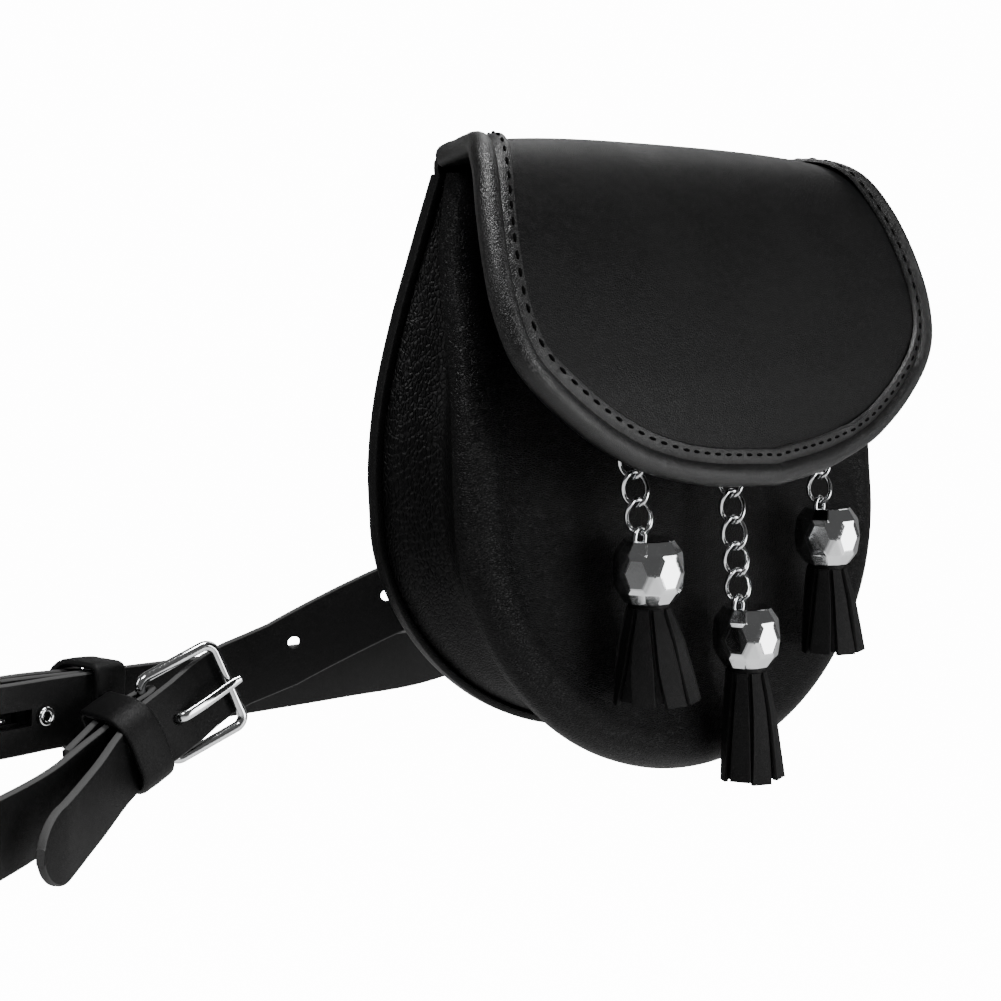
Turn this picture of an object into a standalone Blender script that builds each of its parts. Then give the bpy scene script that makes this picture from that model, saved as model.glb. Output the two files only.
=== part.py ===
"""Sporran pouch: black leather, with a bound flap, tassels on chains and a buckled waist strap.

Metres, +Z up. The pouch faces -Y. The origin is on the back face of the back panel.
Every shape is worked out from the named sizes and the short tables below.
"""

import math

import bmesh
import bpy
import numpy as np
from mathutils import Vector

MM = 0.001
GAP = 0.3

# Pouch body: height, half width of the back, half width of the front, and how far
# forward the back edge of the front panel stands.
BODY_COLUMNS = ("z", "back_half", "front_half", "ridge")
BODY_SIDE = (
    (85.0, 70.5, 70.5, 8.5),
    (78.0, 73.5, 73.5, 10.0),
    (62.0, 80.0, 80.0, 15.0),
    (44.0, 87.0, 87.5, 24.5),
    (24.0, 93.0, 94.0, 33.0),
    (6.0, 95.5, 97.0, 36.5),
    (-10.0, 95.0, 97.5, 38.0),
)
BODY_BACK_BOTTOM = -83.0
BODY_FRONT_BOTTOM = -87.5
BACK_ROUNDNESS = 1.8
FRONT_ROUNDNESS = 1.98
SIDE_STEPS = 7
ARC_STEPS = 11
RIDGE_BOTTOM = 48.0

PANEL_WALL = 2.2
GUSSET_WALL = 1.5
# Rolled edge of the back panel and of the front panel: inset from the outline and depth.
BACK_ROLL = ((0.0, -6.0), (0.5, -2.4), (2.6, -0.5), (7.0, 0.0))
FRONT_ROLL = ((0.0, 0.0), (0.1, -2.8), (1.6, -5.4), (4.6, -7.2), (8.8, -7.6), (13.0, -6.6))
BACK_SPINE_END = -40.0
FRONT_SPINE_END = -46.0
# Middle of the front face: height and how far forward it bulges.
FRONT_SPINE = (
    (87.0, 21.0),
    (66.0, 30.0),
    (44.0, 38.0),
    (22.0, 43.5),
    (0.0, 46.0),
    (-22.0, 46.5),
    (-46.0, 47.5),
)
# How the panels' rows crowd toward the top of the middle line.
SPINE_CROWDING = 1.15
BACK_FACE_STEPS = 1
FRONT_FACE_STEPS = 3
# Side gusset from back to front: share of its depth, inset, share of the fold's depth.
GUSSET_FOLD = (
    (0.0, 3.5, 0.0),
    (0.14, 4.2, 0.15),
    (0.34, 4.2, 0.85),
    (0.46, 4.2, 1.0),
    (0.64, 4.2, 0.72),
    (0.84, 4.2, 0.16),
    (1.0, 4.0, 0.0),
)
GUSSET_FOLD_DEPTH = 10.0
GUSSET_FULL_DEPTH = 28.0
GUSSET_BACK_Y = -4.0
GUSSET_FRONT_LAP = 2.0
GUSSET_TOP = 83.0

# Flap: outer face along its middle, from its end on the back over the top to the lower
# front edge, with its half width there.
FLAP_COLUMNS = ("y", "z", "half_width", "side_drop")
FLAP_ROWS = (
    (2.6, 58.0, 64.0, 0.0),
    (2.6, 72.0, 64.0, 0.0),
    (2.6, 85.0, 64.5, 0.0),
    (0.9, 89.6, 66.0, 0.6),
    (-5.0, 92.3, 68.5, 1.8),
    (-14.0, 93.8, 73.0, 2.8),
    (-24.0, 94.4, 79.0, 2.8),
    (-32.5, 93.5, 84.5, 2.0),
    (-39.0, 89.6, 89.5, 1.0),
    (-44.0, 83.5, 93.0, 0.3),
    (-49.0, 74.0, 97.0, 0.0),
    (-54.0, 62.0, 100.0, 0.0),
    (-58.5, 49.0, 101.0, 0.0),
    (-62.0, 37.0, 98.0, 0.0),
    (-64.3, 28.0, 90.5, 0.0),
    (-65.8, 19.0, 78.5, 0.0),
    (-66.8, 12.0, 66.0, 0.0),
    (-67.6, 6.5, 52.0, 0.0),
    (-68.3, 1.5, 29.0, 0.0),
    (-68.6, -1.0, 0.0, 0.0),
)
FLAP_WALL = 2.2
FLAP_BULGE = 2.5
FLAP_EDGE_STEPS = 25
FLAP_FACE_STEPS = 5
FLAP_POLE = 32.0
# Rows of the table where the bulge is full and where the face stops running straight across.
FLAP_BULGE_FULL = 10
FLAP_STRAIGHT_ROW = 11
FLAP_SIDE_MIN = 40.0
PATH_STEPS = 6
# First of the flap's edge points that the binding covers, counted from the back.
BIND_FIRST = 4
# Binding section: distance out from the flap's edge, height over its outer face.
BIND_SECTION = (
    (-8.6, 0.9),
    (-8.3, 1.6),
    (-4.8, 1.2),
    (-2.6, 2.4),
    (0.4, 1.9),
    (2.0, -0.6),
    (1.4, -3.2),
    (-1.8, -4.4),
    (-7.0, -4.2),
    (-7.0, -3.4),
    (0.8, -3.4),
    (0.8, 0.9),
)

# Leather loops on the back that the strap runs through: distance behind the back face.
LOOP_X = 50.0
LOOP_WIDTH = 16.0
LOOP_WALL = 2.0
LOOP_COLUMNS = ("z", "stand_off")
LOOP_ROWS = (
    (84.5, 2.8),
    (66.0, 2.8),
    (54.0, 3.6),
    (38.0, 6.4),
    (-44.0, 6.4),
    (-48.0, 4.0),
    (-50.5, GAP),
    (-57.0, GAP),
)

# Chains and drops.
DROP_COLUMNS = ("name", "bead_x", "bead_y", "bead_z", "lean_x", "lean_y", "links", "spread", "length")
DROPS = (
    ("left", -44.5, -60.0, -22.8, -2.2, 3.7, 4, 12.8, 26.6),
    ("centre", 0.0, -61.6, -47.6, 0.0, 5.0, 6, 10.0, 33.0),
    ("right", 44.5, -60.0, -22.8, 2.2, 3.7, 4, 10.4, 27.0),
)
EYE_OFFSET = (-1.0, 2.4)
LINK_PITCH = 7.75
LINK_WIRE = 1.4
LINK_WIDTH = 6.6
LINK_TWIST = 45.0
LINK_FACING = -47.0
LINK_SQUARENESS = 0.9
LINK_STEPS = 12
WIRE_SIDES = 6
WIRE_GAP = 0.3
BEAD_HEIGHT = 17.4
BEAD_RADIUS = 10.3
BEAD_END_RADIUS = 6.9
BEAD_SIDES = 6
BEAD_TURN = 18.0
BEAD_FACET_SHARE = 0.27
BEAD_SHOULDER = 0.62
EYE_REACH = 2.1
EYE_RISE = 2.9
EYE_LEGS = 2.5
EYE_STEPS = 6
ANCHOR_RING = 2.7
ANCHOR_STEPS = 10
ANCHOR_POST = 1.0
ANCHOR_PLATE = 3.4
ANCHOR_PLATE_WALL = 1.2
TASSEL_NECK = 5.6
TASSEL_NECK_HEIGHT = 4.0
TASSEL_LEAN = 1.2
TASSEL_BACK_SHARE = 0.5
STRIPS = 9
INNER_STRIPS = 4
STRIP_WIDTH = 6.4
STRIP_WALL = 1.5
STRIP_FILL = 0.92
STRIP_TURN = 0.12
STRIP_TOP = 0.6
STRIP_BITE = 0.4
STRIP_STAGGER = 0.8
INNER_START = 1.9
INNER_SPREAD = 0.45
TASSEL_SIDES = 12
# Strip section down its length: share of the length and share of the spread.
STRIP_ROWS = ((0.02, 0.0), (0.35, 0.42), (1.0, 1.0))

# Waist strap: the loop's middle line seen from above, and its height.
STRAP_COLUMNS = ("x", "y", "z")
STRAP_ROUTE = (
    (-36.0, 2.2, -23.5),
    (-59.0, 3.4, -30.5),
    (-73.0, 14.0, -37.0),
    (-90.0, 28.0, -47.5),
    (-108.0, 38.0, -57.5),
    (-136.0, 48.5, -70.0),
    (-151.0, 46.5, -75.5),
    (-172.0, 34.0, -79.0),
    (-200.0, 14.0, -77.0),
    (-236.0, -4.0, -75.5),
    (-270.0, -8.0, -75.0),
    (-296.0, 7.0, -72.0),
    (-298.0, 32.0, -69.0),
    (-276.0, 48.0, -65.0),
    (-236.0, 53.0, -61.0),
    (-201.0, 55.0, -60.0),
    (-160.0, 62.5, -62.7),
    (-85.0, 75.0, -70.0),
    (-30.0, 82.0, -74.8),
    (20.0, 91.0, -79.2),
    (72.0, 98.0, -76.0),
    (116.0, 90.0, -62.0),
    (134.0, 60.0, -44.0),
    (116.0, 28.0, -26.0),
    (84.0, 9.0, -14.0),
    (58.0, 3.2, -8.0),
    (38.0, 2.2, -7.0),
    (0.0, 2.2, -14.0),
)
STRAP_WIDTH = 20.2
STRAP_WALL = 2.4
ROUTE_STEPS = 24
# Half of the length over which the strap's direction is read.
ROUTE_REACH = 4.0
STATION_SPACING = 13.0
NEAR_BAR_XY = (-131.5, 47.6)
FAR_BAR_XY = (-175.0, 59.6)
# Fold of a strap round a buckle's bar: distance back from the bar and height over the
# strap's middle line, of its outer layer and of its inner layer.
FOLD_RADIUS = 3.1
FOLD_START = 44.0
FOLD_COLUMNS = ("back", "lift")
FOLD_OUTER_ROWS = ((30.0, 0.7), (18.0, 2.1), (8.0, 3.0), (3.0, FOLD_RADIUS))
FOLD_INNER_ROWS = ((6.0, -FOLD_RADIUS), (16.0, -2.5), (34.0, -2.1))
FOLD_STEPS = 4
FOLD_SLOT_LENGTH = 16.0
FOLD_SLOT_WIDTH = 4.8
FOLD_SLOT_BACK = 1.5
FOLD_SLOT_DEPTH = 12.0
# Tail of a strap: distance ahead of the bar it passes, and height over the middle line.
TAIL_LENGTH = 82.0
TAIL_END_LIFT = 10.0
TAIL_TIP_STEPS = 5
TAIL_TIP_SHARE = 1.25
TAIL_POINT_SHARE = 0.22
TAIL_SPANS = 5
TAIL_SAG = 4.5
# straight is how far a row keeps to the straight line of the buckle instead of the route.
TAIL_COLUMNS = ("ahead", "lift", "straight")
TAIL_ROWS = (
    (-8.0, 7.4, 0.3),
    (1.0, 6.6, 1.0),
    (8.0, 4.0, 1.0),
    (15.0, -0.4, 1.0),
    (21.0, -3.2, 1.0),
    (27.5, -3.3, 1.0),
    (34.0, -1.8, 0.5),
    (41.0, 0.0, 0.0),
)
HOLE_RADIUS = 1.8
HOLE_SIDES = 10
HOLE_DEPTH = 9.0
PRONG_HOLE_AHEAD = 5.6
PRONG_HOLE_LIFT = 5.0
PRONG_HOLE_RADIUS = 3.2
# Free holes of the front strap, measured ahead of the near buckle's bar.
FREE_HOLES_AHEAD = (45.5, 77.0)
FREE_HOLE_RISE = 1.6

BUCKLE_LENGTH = 24.0
BUCKLE_HEIGHT = 26.6
BUCKLE_BAR = 3.0
BUCKLE_CORNER = 3.2
BUCKLE_SIDES = 8
CORNER_STEPS = 2
PRONG_WIRE = 0.65
PRONG_EYE_STEPS = 9
# Prong from its eye to its tip: distance ahead of the bar, height, half width, half thickness.
PRONG_COLUMNS = ("ahead", "lift", "half_width", "half_wall")
PRONG_ROWS = (
    (0.2, 2.45, 0.9, 0.5),
    (2.6, 3.4, 1.2, 0.7),
    (5.5, 6.4, 1.5, 0.8),
    (8.5, 7.0, 1.5, 0.8),
    (16.0, 5.4, 1.5, 0.8),
    (24.0, 2.9, 1.4, 0.8),
    (27.0, 2.4, 1.1, 0.8),
)
KEEPER_WIDTH = 11.0
KEEPER_WALL = 1.8
KEEPER_INNER = -6.0
KEEPER_OUTER = 12.2
KEEPER_ROOM = 1.9
KEEPER_BEVEL = 1.6
NEAR_KEEPER_BACK = 10.6
FAR_KEEPER_BACK = 35.5
EYELET_RADIUS = 2.0
EYELET_WIRE = 0.75
EYELET_STEPS = 12
EYELET_BACK = 14.0
EYELET_LIFT = -5.0

LEATHER_COLOUR = (0.012, 0.012, 0.013, 1.0)
GUSSET_COLOUR = (0.009, 0.009, 0.010, 1.0)
METAL_COLOUR = (0.80, 0.81, 0.82, 1.0)
CUTTER_COLOUR = (1.0, 0.2, 0.2, 1.0)


def clear_scene():
    for obj in list(bpy.data.objects):
        bpy.data.objects.remove(obj, do_unlink=True)
    for col in list(bpy.data.collections):
        bpy.data.collections.remove(col)


def make_material(name, colour, metallic, roughness):
    mat = bpy.data.materials.new(name)
    mat.use_nodes = True
    bsdf = mat.node_tree.nodes["Principled BSDF"]
    bsdf.inputs["Base Color"].default_value = colour
    bsdf.inputs["Metallic"].default_value = metallic
    bsdf.inputs["Roughness"].default_value = roughness
    mat.diffuse_color = colour
    return mat


def make_object(name, verts, faces, mat, collection):
    """A mesh object from points in millimetres."""
    mesh = bpy.data.meshes.new(name)
    mesh.from_pydata([tuple(c * MM for c in v) for v in verts], [], faces)
    mesh.update()
    mesh.materials.append(mat)
    obj = bpy.data.objects.new(name, mesh)
    collection.objects.link(obj)
    return obj


def add_modifier(obj, kind, name, **settings):
    mod = obj.modifiers.new(name, kind)
    for key, value in settings.items():
        setattr(mod, key, value)
    return mod


def lerp(a, b, t):
    return a + (b - a) * t


def table_value(rows, column, key):
    """Linear reading of a table whose first column falls from row to row."""
    keys = [-row[0] for row in rows]
    return float(np.interp(-key, keys, [row[column] for row in rows]))


def smooth_path(points, steps, closed=False):
    """Points of a Catmull-Rom curve through the given points, steps to a span."""
    pts = [Vector(p) for p in points]
    count = len(pts)
    spans = count if closed else count - 1
    out = []
    for i in range(spans):
        if closed:
            p0, p1, p2, p3 = (pts[(i + j - 1) % count] for j in range(4))
        else:
            p1, p2 = pts[i], pts[i + 1]
            p0 = pts[i - 1] if i else p1 * 2.0 - p2
            p3 = pts[i + 2] if i + 2 < count else p2 * 2.0 - p1
        for k in range(steps):
            t = k / steps
            a = p1 * 2.0
            b = p2 - p0
            c = p0 * 2.0 - p1 * 5.0 + p2 * 4.0 - p3
            d = p1 * 3.0 - p0 - p2 * 3.0 + p3
            out.append((a + b * t + c * t * t + d * t * t * t) * 0.5)
    if not closed:
        out.append(pts[-1])
    return out


class Curve:
    """A polyline read by its length."""

    def __init__(self, points, closed=False):
        self.points = [Vector(p) for p in points]
        self.closed = closed
        if closed:
            self.points.append(self.points[0].copy())
        self.at = [0.0]
        for a, b in zip(self.points, self.points[1:]):
            self.at.append(self.at[-1] + (b - a).length)
        self.length = self.at[-1]

    def point(self, s):
        if self.closed:
            s = s % self.length
        s = min(max(s, 0.0), self.length)
        i = int(np.searchsorted(self.at, s, side="right")) - 1
        i = min(max(i, 0), len(self.points) - 2)
        span = self.at[i + 1] - self.at[i]
        t = (s - self.at[i]) / span if span else 0.0
        return self.points[i].lerp(self.points[i + 1], t)

    def tangent(self, s, reach=1.5):
        if self.closed:
            a, b = self.point(s - reach), self.point(s + reach)
        else:
            a, b = self.point(max(s - reach, 0.0)), self.point(min(s + reach, self.length))
        return (b - a).normalized()


def grid_faces(rows, columns, flip=False, close_columns=False):
    faces = []
    for i in range(rows - 1):
        for j in range(columns if close_columns else columns - 1):
            k = (j + 1) % columns
            quad = (i * columns + j, (i + 1) * columns + j, (i + 1) * columns + k, i * columns + k)
            faces.append(tuple(reversed(quad)) if flip else quad)
    return faces


def half_outline(side):
    """Left half of a body outline from its top corner down to its lowest point.

    side is the column of BODY_SIDE; returns points (x, z) and inward directions.
    """
    rows = BODY_SIDE
    path = smooth_path([(row[side], row[0], 0.0) for row in rows], PATH_STEPS)
    curve = Curve(path)
    pts = [curve.point(curve.length * i / SIDE_STEPS) for i in range(SIDE_STEPS + 1)]
    pts = [(-p.x, p.y) for p in pts]
    half, mid = rows[-1][side], rows[-1][0]
    bottom = BODY_BACK_BOTTOM if side == 1 else BODY_FRONT_BOTTOM
    power = 2.0 / (BACK_ROUNDNESS if side == 1 else FRONT_ROUNDNESS)
    for i in range(1, ARC_STEPS + 1):
        angle = math.radians(90.0 * i / ARC_STEPS)
        x = half * max(math.cos(angle), 0.0) ** power
        z = mid - (mid - bottom) * math.sin(angle) ** power
        pts.append((0.0 if i == ARC_STEPS else -x, z))
    inward = []
    for i, p in enumerate(pts):
        if i == 0:
            inward.append((1.0, 0.0))
        elif i == len(pts) - 1:
            inward.append((0.0, 1.0))
        else:
            dx = pts[i + 1][0] - pts[i - 1][0]
            dz = pts[i + 1][1] - pts[i - 1][1]
            size = math.hypot(dx, dz)
            inward.append((-dz / size, dx / size))
    return pts, inward


def ridge_forward(z):
    """How far forward the back edge of the front panel stands at a height."""
    if z >= BODY_SIDE[-1][0]:
        return table_value(BODY_SIDE, 3, z)
    drop = (BODY_SIDE[-1][0] - z) / (BODY_SIDE[-1][0] - BODY_FRONT_BOTTOM)
    return lerp(BODY_SIDE[-1][3], RIDGE_BOTTOM, min(drop, 1.0))


def spine_heights(outline, end):
    """Heights on the middle line that the outline's points run in to."""
    top = outline[0][1]
    last = len(outline) - 1
    return [lerp(top, end, (i / last) ** SPINE_CROWDING) for i in range(last + 1)]


def panel_shell(name, outline, inward, roll, edge_y, spine_z, spine_y, face_steps, outward_back, mat, col):
    """Rolled-edge panel: half a grid from the outline in to the middle line, mirrored."""
    verts = []
    for i, (p, n) in enumerate(zip(outline, inward)):
        for inset, depth in roll:
            x = p[0] + n[0] * inset if i < len(outline) - 1 else 0.0
            verts.append((x, edge_y[i] + depth, p[1] + n[1] * inset))
        start = Vector(verts[-1])
        end = Vector((0.0, spine_y(spine_z[i]), spine_z[i]))
        for k in range(1, face_steps + 1):
            t = k / face_steps
            v = start.lerp(end, t)
            v.y = lerp(start.y, end.y, 1.0 - (1.0 - t) ** 2)
            verts.append(tuple(v))
    columns = len(roll) + face_steps
    obj = make_object(name, verts, grid_faces(len(outline), columns, flip=outward_back), mat, col)
    add_modifier(obj, "MIRROR", "Mirror", use_axis=(True, False, False), use_clip=True, merge_threshold=0.0001)
    add_modifier(obj, "SOLIDIFY", "Wall", thickness=PANEL_WALL * MM, offset=-1.0, use_even_offset=True)


def build_body(mats, col):
    back, back_in = half_outline(1)
    front, front_in = half_outline(2)
    back_z = spine_heights(back, BACK_SPINE_END)
    front_z = spine_heights(front, FRONT_SPINE_END)
    panel_shell("back_panel", back, back_in, BACK_ROLL, [0.0] * len(back), back_z, lambda z: 0.0,
                BACK_FACE_STEPS, True, mats["leather"], col)
    ridge = [-ridge_forward(p[1]) for p in front]
    panel_shell("front_panel", front, front_in, FRONT_ROLL, ridge, front_z,
                front_face_y, FRONT_FACE_STEPS, False, mats["leather"], col)
    verts = []
    for i in range(len(back)):
        b = (back[i][0], min(back[i][1], GUSSET_TOP))
        f = (front[i][0], min(front[i][1], GUSSET_TOP))
        front_y = ridge[i] - GUSSET_FRONT_LAP
        fold = GUSSET_FOLD_DEPTH * min(1.0, (GUSSET_BACK_Y - front_y) / GUSSET_FULL_DEPTH)
        for share, inset, depth in GUSSET_FOLD:
            inner = inset + depth * fold
            nx = lerp(back_in[i][0], front_in[i][0], share)
            nz = lerp(back_in[i][1], front_in[i][1], share)
            x = lerp(b[0], f[0], share) + nx * inner
            z = lerp(b[1], f[1], share) + nz * inner
            verts.append((0.0 if i == len(back) - 1 else x, lerp(GUSSET_BACK_Y, front_y, share), z))
    obj = make_object("side_gusset", verts, grid_faces(len(back), len(GUSSET_FOLD)), mats["gusset"], col)
    add_modifier(obj, "MIRROR", "Mirror", use_axis=(True, False, False), use_clip=True, merge_threshold=0.0001)
    add_modifier(obj, "SOLIDIFY", "Wall", thickness=GUSSET_WALL * MM, offset=0.0, use_even_offset=True)


def flap_maps():
    """The flap's profile by length, its edge as (x, length) and its outer face."""
    profile = Curve(smooth_path([(0.0, row[0], row[1]) for row in FLAP_ROWS], PATH_STEPS))
    at = [profile.at[i * PATH_STEPS] for i in range(len(FLAP_ROWS))]
    edge = Curve(smooth_path([(-row[2], s, 0.0) for row, s in zip(FLAP_ROWS, at)], PATH_STEPS))
    full = at[FLAP_BULGE_FULL]

    def face(x, s):
        p = profile.point(s)
        t = profile.tangent(s)
        normal = Vector((0.0, t.z, -t.y))
        side = min(abs(x) / max(float(np.interp(s, at, [row[2] for row in FLAP_ROWS])), FLAP_SIDE_MIN), 1.0)
        rise = min(max(2.0 * s / full - 1.0, 0.0), 1.0)
        drop = float(np.interp(s, at, [row[3] for row in FLAP_ROWS])) * side ** 4
        return Vector((x, p.y, p.z - drop)) + normal * (FLAP_BULGE * rise * (1.0 - side * side))

    return profile, edge, at, face


def build_flap(mats, col):
    profile, edge, at, face = flap_maps()
    pole = profile.length - FLAP_POLE
    stops = [edge.length * i / FLAP_EDGE_STEPS for i in range(FLAP_EDGE_STEPS + 1)]
    straight = max(s for s in stops if edge.point(s).y <= at[FLAP_STRAIGHT_ROW])
    rows = []
    for i, s in enumerate(stops):
        e = edge.point(s)
        spine = e.y
        if s > straight:
            spine = lerp(edge.point(straight).y, pole, (s - straight) / (edge.length - straight))
        x_edge = 0.0 if i == FLAP_EDGE_STEPS else e.x
        steps = [k / FLAP_FACE_STEPS for k in range(FLAP_FACE_STEPS + 1)]
        rows.append([face(x_edge * (1.0 - t), lerp(e.y, spine, t)) for t in steps])
    verts = [tuple(p) for row in rows for p in row]
    obj = make_object("flap", verts, grid_faces(len(rows), len(rows[0])), mats["leather"], col)
    add_modifier(obj, "MIRROR", "Mirror", use_axis=(True, False, False), use_clip=True, merge_threshold=0.0001)
    add_modifier(obj, "SOLIDIFY", "Wall", thickness=FLAP_WALL * MM, offset=-1.0, use_even_offset=True)
    build_binding(rows, mats["leather"], col)


def build_binding(rows, mat, col):
    """Edging lofted along the flap's edge points, its section square to the edge and the face."""
    rings = []
    last = len(rows) - 1
    for i in range(BIND_FIRST, len(rows)):
        p = rows[i][0]
        along = Vector((1.0, 0.0, 0.0)) if i == last else (rows[i + 1][0] - rows[i - 1][0]).normalized()
        out = p - rows[i][1]
        out = (out - along * along.dot(out)).normalized()
        normal = out.cross(along).normalized()
        if normal.y > 0.0 and normal.z < 0.0:
            normal = -normal
        rings.append([p + out * reach + normal * rise for reach, rise in BIND_SECTION])
    rings += [[Vector((-v.x, v.y, v.z)) for v in ring] for ring in reversed(rings[:-1])]
    loft(rings, "flap_binding", mat, col)


def loft(rings, name, mat, col, closed=False):
    """A closed body through rings of points, with flat ends unless it is closed."""
    count = len(rings[0])
    verts = [tuple(v) for ring in rings for v in ring]
    faces = grid_faces(len(rings), count, close_columns=True)
    if closed:
        last = (len(rings) - 1) * count
        for j in range(count):
            k = (j + 1) % count
            faces.append((last + j, j, k, last + k))
    else:
        faces.append(tuple(range(count)))
        last = (len(rings) - 1) * count
        faces.append(tuple(last + j for j in reversed(range(count))))
    obj = make_object(name, verts, faces, mat, col)
    fix_normals(obj)
    return obj


def fix_normals(obj):
    bm = bmesh.new()
    bm.from_mesh(obj.data)
    bmesh.ops.recalc_face_normals(bm, faces=bm.faces)
    bm.to_mesh(obj.data)
    bm.free()


def tube_rings(path, radius, sides, closed=False):
    """Rings of a round wire along a path, turned as little as possible."""
    pts = [Vector(p) for p in path]
    count = len(pts)
    tangents = []
    for i in range(count):
        if closed:
            t = pts[(i + 1) % count] - pts[i - 1]
        else:
            t = pts[min(i + 1, count - 1)] - pts[max(i - 1, 0)]
        tangents.append(t.normalized())
    guide = Vector((0.0, 0.0, 1.0))
    if abs(guide.dot(tangents[0])) > 0.8:
        guide = Vector((0.0, 1.0, 0.0))
    u = (guide - tangents[0] * tangents[0].dot(guide)).normalized()
    frames = []
    for t in tangents:
        u = (u - t * t.dot(u)).normalized()
        frames.append((u.copy(), t.cross(u)))
    twist = 0.0
    if closed:
        u0, v0 = frames[0]
        u_end = (u - tangents[0] * tangents[0].dot(u)).normalized()
        twist = math.atan2(u_end.dot(v0), u_end.dot(u0))
    rings = []
    for i, (p, (a, b)) in enumerate(zip(pts, frames)):
        turn = -twist * i / count
        ring = []
        for k in range(sides):
            angle = 2.0 * math.pi * k / sides + turn
            ring.append(p + (a * math.cos(angle) + b * math.sin(angle)) * radius)
        rings.append(ring)
    return rings


def join_solids(target, others):
    """Fuse other solids into the target and remove them."""
    for other in others:
        add_modifier(target, "BOOLEAN", "Fuse", operation="UNION", solver="EXACT", object=other)
        bake(target)
        bpy.data.objects.remove(other, do_unlink=True)


def bake(obj):
    """Replace an object's mesh by the result of its modifiers."""
    bpy.context.view_layer.update()
    graph = bpy.context.evaluated_depsgraph_get()
    mesh = bpy.data.meshes.new_from_object(obj.evaluated_get(graph))
    obj.modifiers.clear()
    obj.data = mesh


def cut(target, cutter):
    """Cut a solid out of the target and keep the cutter hidden."""
    add_modifier(target, "BOOLEAN", "Cut", operation="DIFFERENCE", solver="EXACT", object=cutter)
    bake(target)
    cutter.hide_render = True
    cutter.display_type = "WIRE"


class HangLine:
    """The leaning line that a drop's links hang along, from the bead's eye up."""

    def __init__(self, eye, lean_x, lean_y, reach):
        self.eye = Vector(eye)
        rise = math.sqrt(reach * reach - lean_x * lean_x - lean_y * lean_y)
        self.along = Vector((lean_x, lean_y, rise)) / reach
        facing = Vector((math.cos(math.radians(LINK_FACING)), math.sin(math.radians(LINK_FACING)), 0.0))
        self.across = (facing - self.along * self.along.dot(facing)).normalized()
        self.depth = self.along.cross(self.across)

    def at(self, distance):
        return self.eye + self.along * distance


def link_path(line, distance):
    """Twisted oval of one curb link centred on the hanging line."""
    height = LINK_PITCH + LINK_WIRE + WIRE_GAP
    centre = line.at(distance)
    path = []
    for k in range(LINK_STEPS):
        angle = 2.0 * math.pi * (k + 0.5) / LINK_STEPS
        across = LINK_WIDTH / 2.0 * math.copysign(abs(math.cos(angle)) ** LINK_SQUARENESS, math.cos(angle))
        up = math.sin(angle)
        turn = math.radians(LINK_TWIST) * up
        rise = height / 2.0 * math.copysign(abs(up) ** LINK_SQUARENESS, up)
        path.append(centre + line.across * (across * math.cos(turn)) + line.depth * (across * math.sin(turn))
                    + line.along * rise)
    return path


def front_face_y(z):
    return -table_value(FRONT_SPINE, 1, z)


def bead_solid(name, centre, mat, col):
    """Faceted bead: a hexagon on each side, triangles at the corners between them."""
    x, y, z = centre
    half = BEAD_HEIGHT / 2.0
    step = 2.0 * math.pi / BEAD_SIDES
    side_turn = math.radians(BEAD_TURN)
    spread = step * BEAD_FACET_SHARE
    shoulder = BEAD_RADIUS * math.cos(step / 2.0) / math.cos(spread)
    verts = []
    shoulder_level = half * BEAD_SHOULDER
    levels = ((half, BEAD_END_RADIUS), (shoulder_level, shoulder), (-shoulder_level, shoulder), (-half, BEAD_END_RADIUS))
    for level, radius in levels:
        for k in range(2 * BEAD_SIDES):
            angle = side_turn + step * (k // 2) + (spread if k % 2 else -spread)
            verts.append((x + radius * math.cos(angle), y + radius * math.sin(angle), z + level))
    for k in range(BEAD_SIDES):
        angle = side_turn + step * (k + 0.5)
        verts.append((x + BEAD_RADIUS * math.cos(angle), y + BEAD_RADIUS * math.sin(angle), z))
    ring = 2 * BEAD_SIDES
    top, up, low, end, belt = 0, ring, 2 * ring, 3 * ring, 4 * ring
    faces = [tuple(range(ring)), tuple(end + k for k in reversed(range(ring)))]
    for k in range(BEAD_SIDES):
        a, b, c = 2 * k, 2 * k + 1, (2 * k + 2) % ring
        corner, before = belt + k, belt + (k - 1) % BEAD_SIDES
        faces.append((up + a, up + b, corner, low + b, low + a, before))
        faces.append((up + b, up + c, corner))
        faces.append((low + b, corner, low + c))
        faces.append((top + a, top + b, up + b, up + a))
        faces.append((top + b, top + c, up + c, up + b))
        faces.append((low + a, low + b, end + b, end + a))
        faces.append((low + b, low + c, end + c, end + b))
    obj = make_object(name, verts, faces, mat, col)
    fix_normals(obj)
    return obj


def strip_rings(top, angle, count, start, reach, length):
    """Rings of one tassel strip; its back half is pressed toward the neck."""
    x, y, z = top
    out = Vector((math.cos(angle), math.sin(angle), 0.0))
    across = Vector((-math.sin(angle), math.cos(angle), 0.0))
    rings = []
    for share, lean in STRIP_ROWS:
        r = lerp(start, reach, lean)
        room = 2.0 * (r - STRIP_WALL / 2.0) * math.tan(math.pi / count) * STRIP_FILL
        half = min(STRIP_WIDTH, room) / 2.0
        back = lerp(1.0, TASSEL_BACK_SHARE, lean)
        ring = []
        for side, face in ((half, 0.5), (-half, 0.5), (-half, -0.5), (half, -0.5)):
            v = out * (r + face * STRIP_WALL) + across * side
            depth = v.y * back if v.y > 0.0 else v.y
            drop = STRIP_TOP + (length - STRIP_TOP) * share
            ring.append(Vector((x + v.x, y - TASSEL_LEAN * lean + depth, z - drop)))
        rings.append(ring)
    return rings


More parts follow.
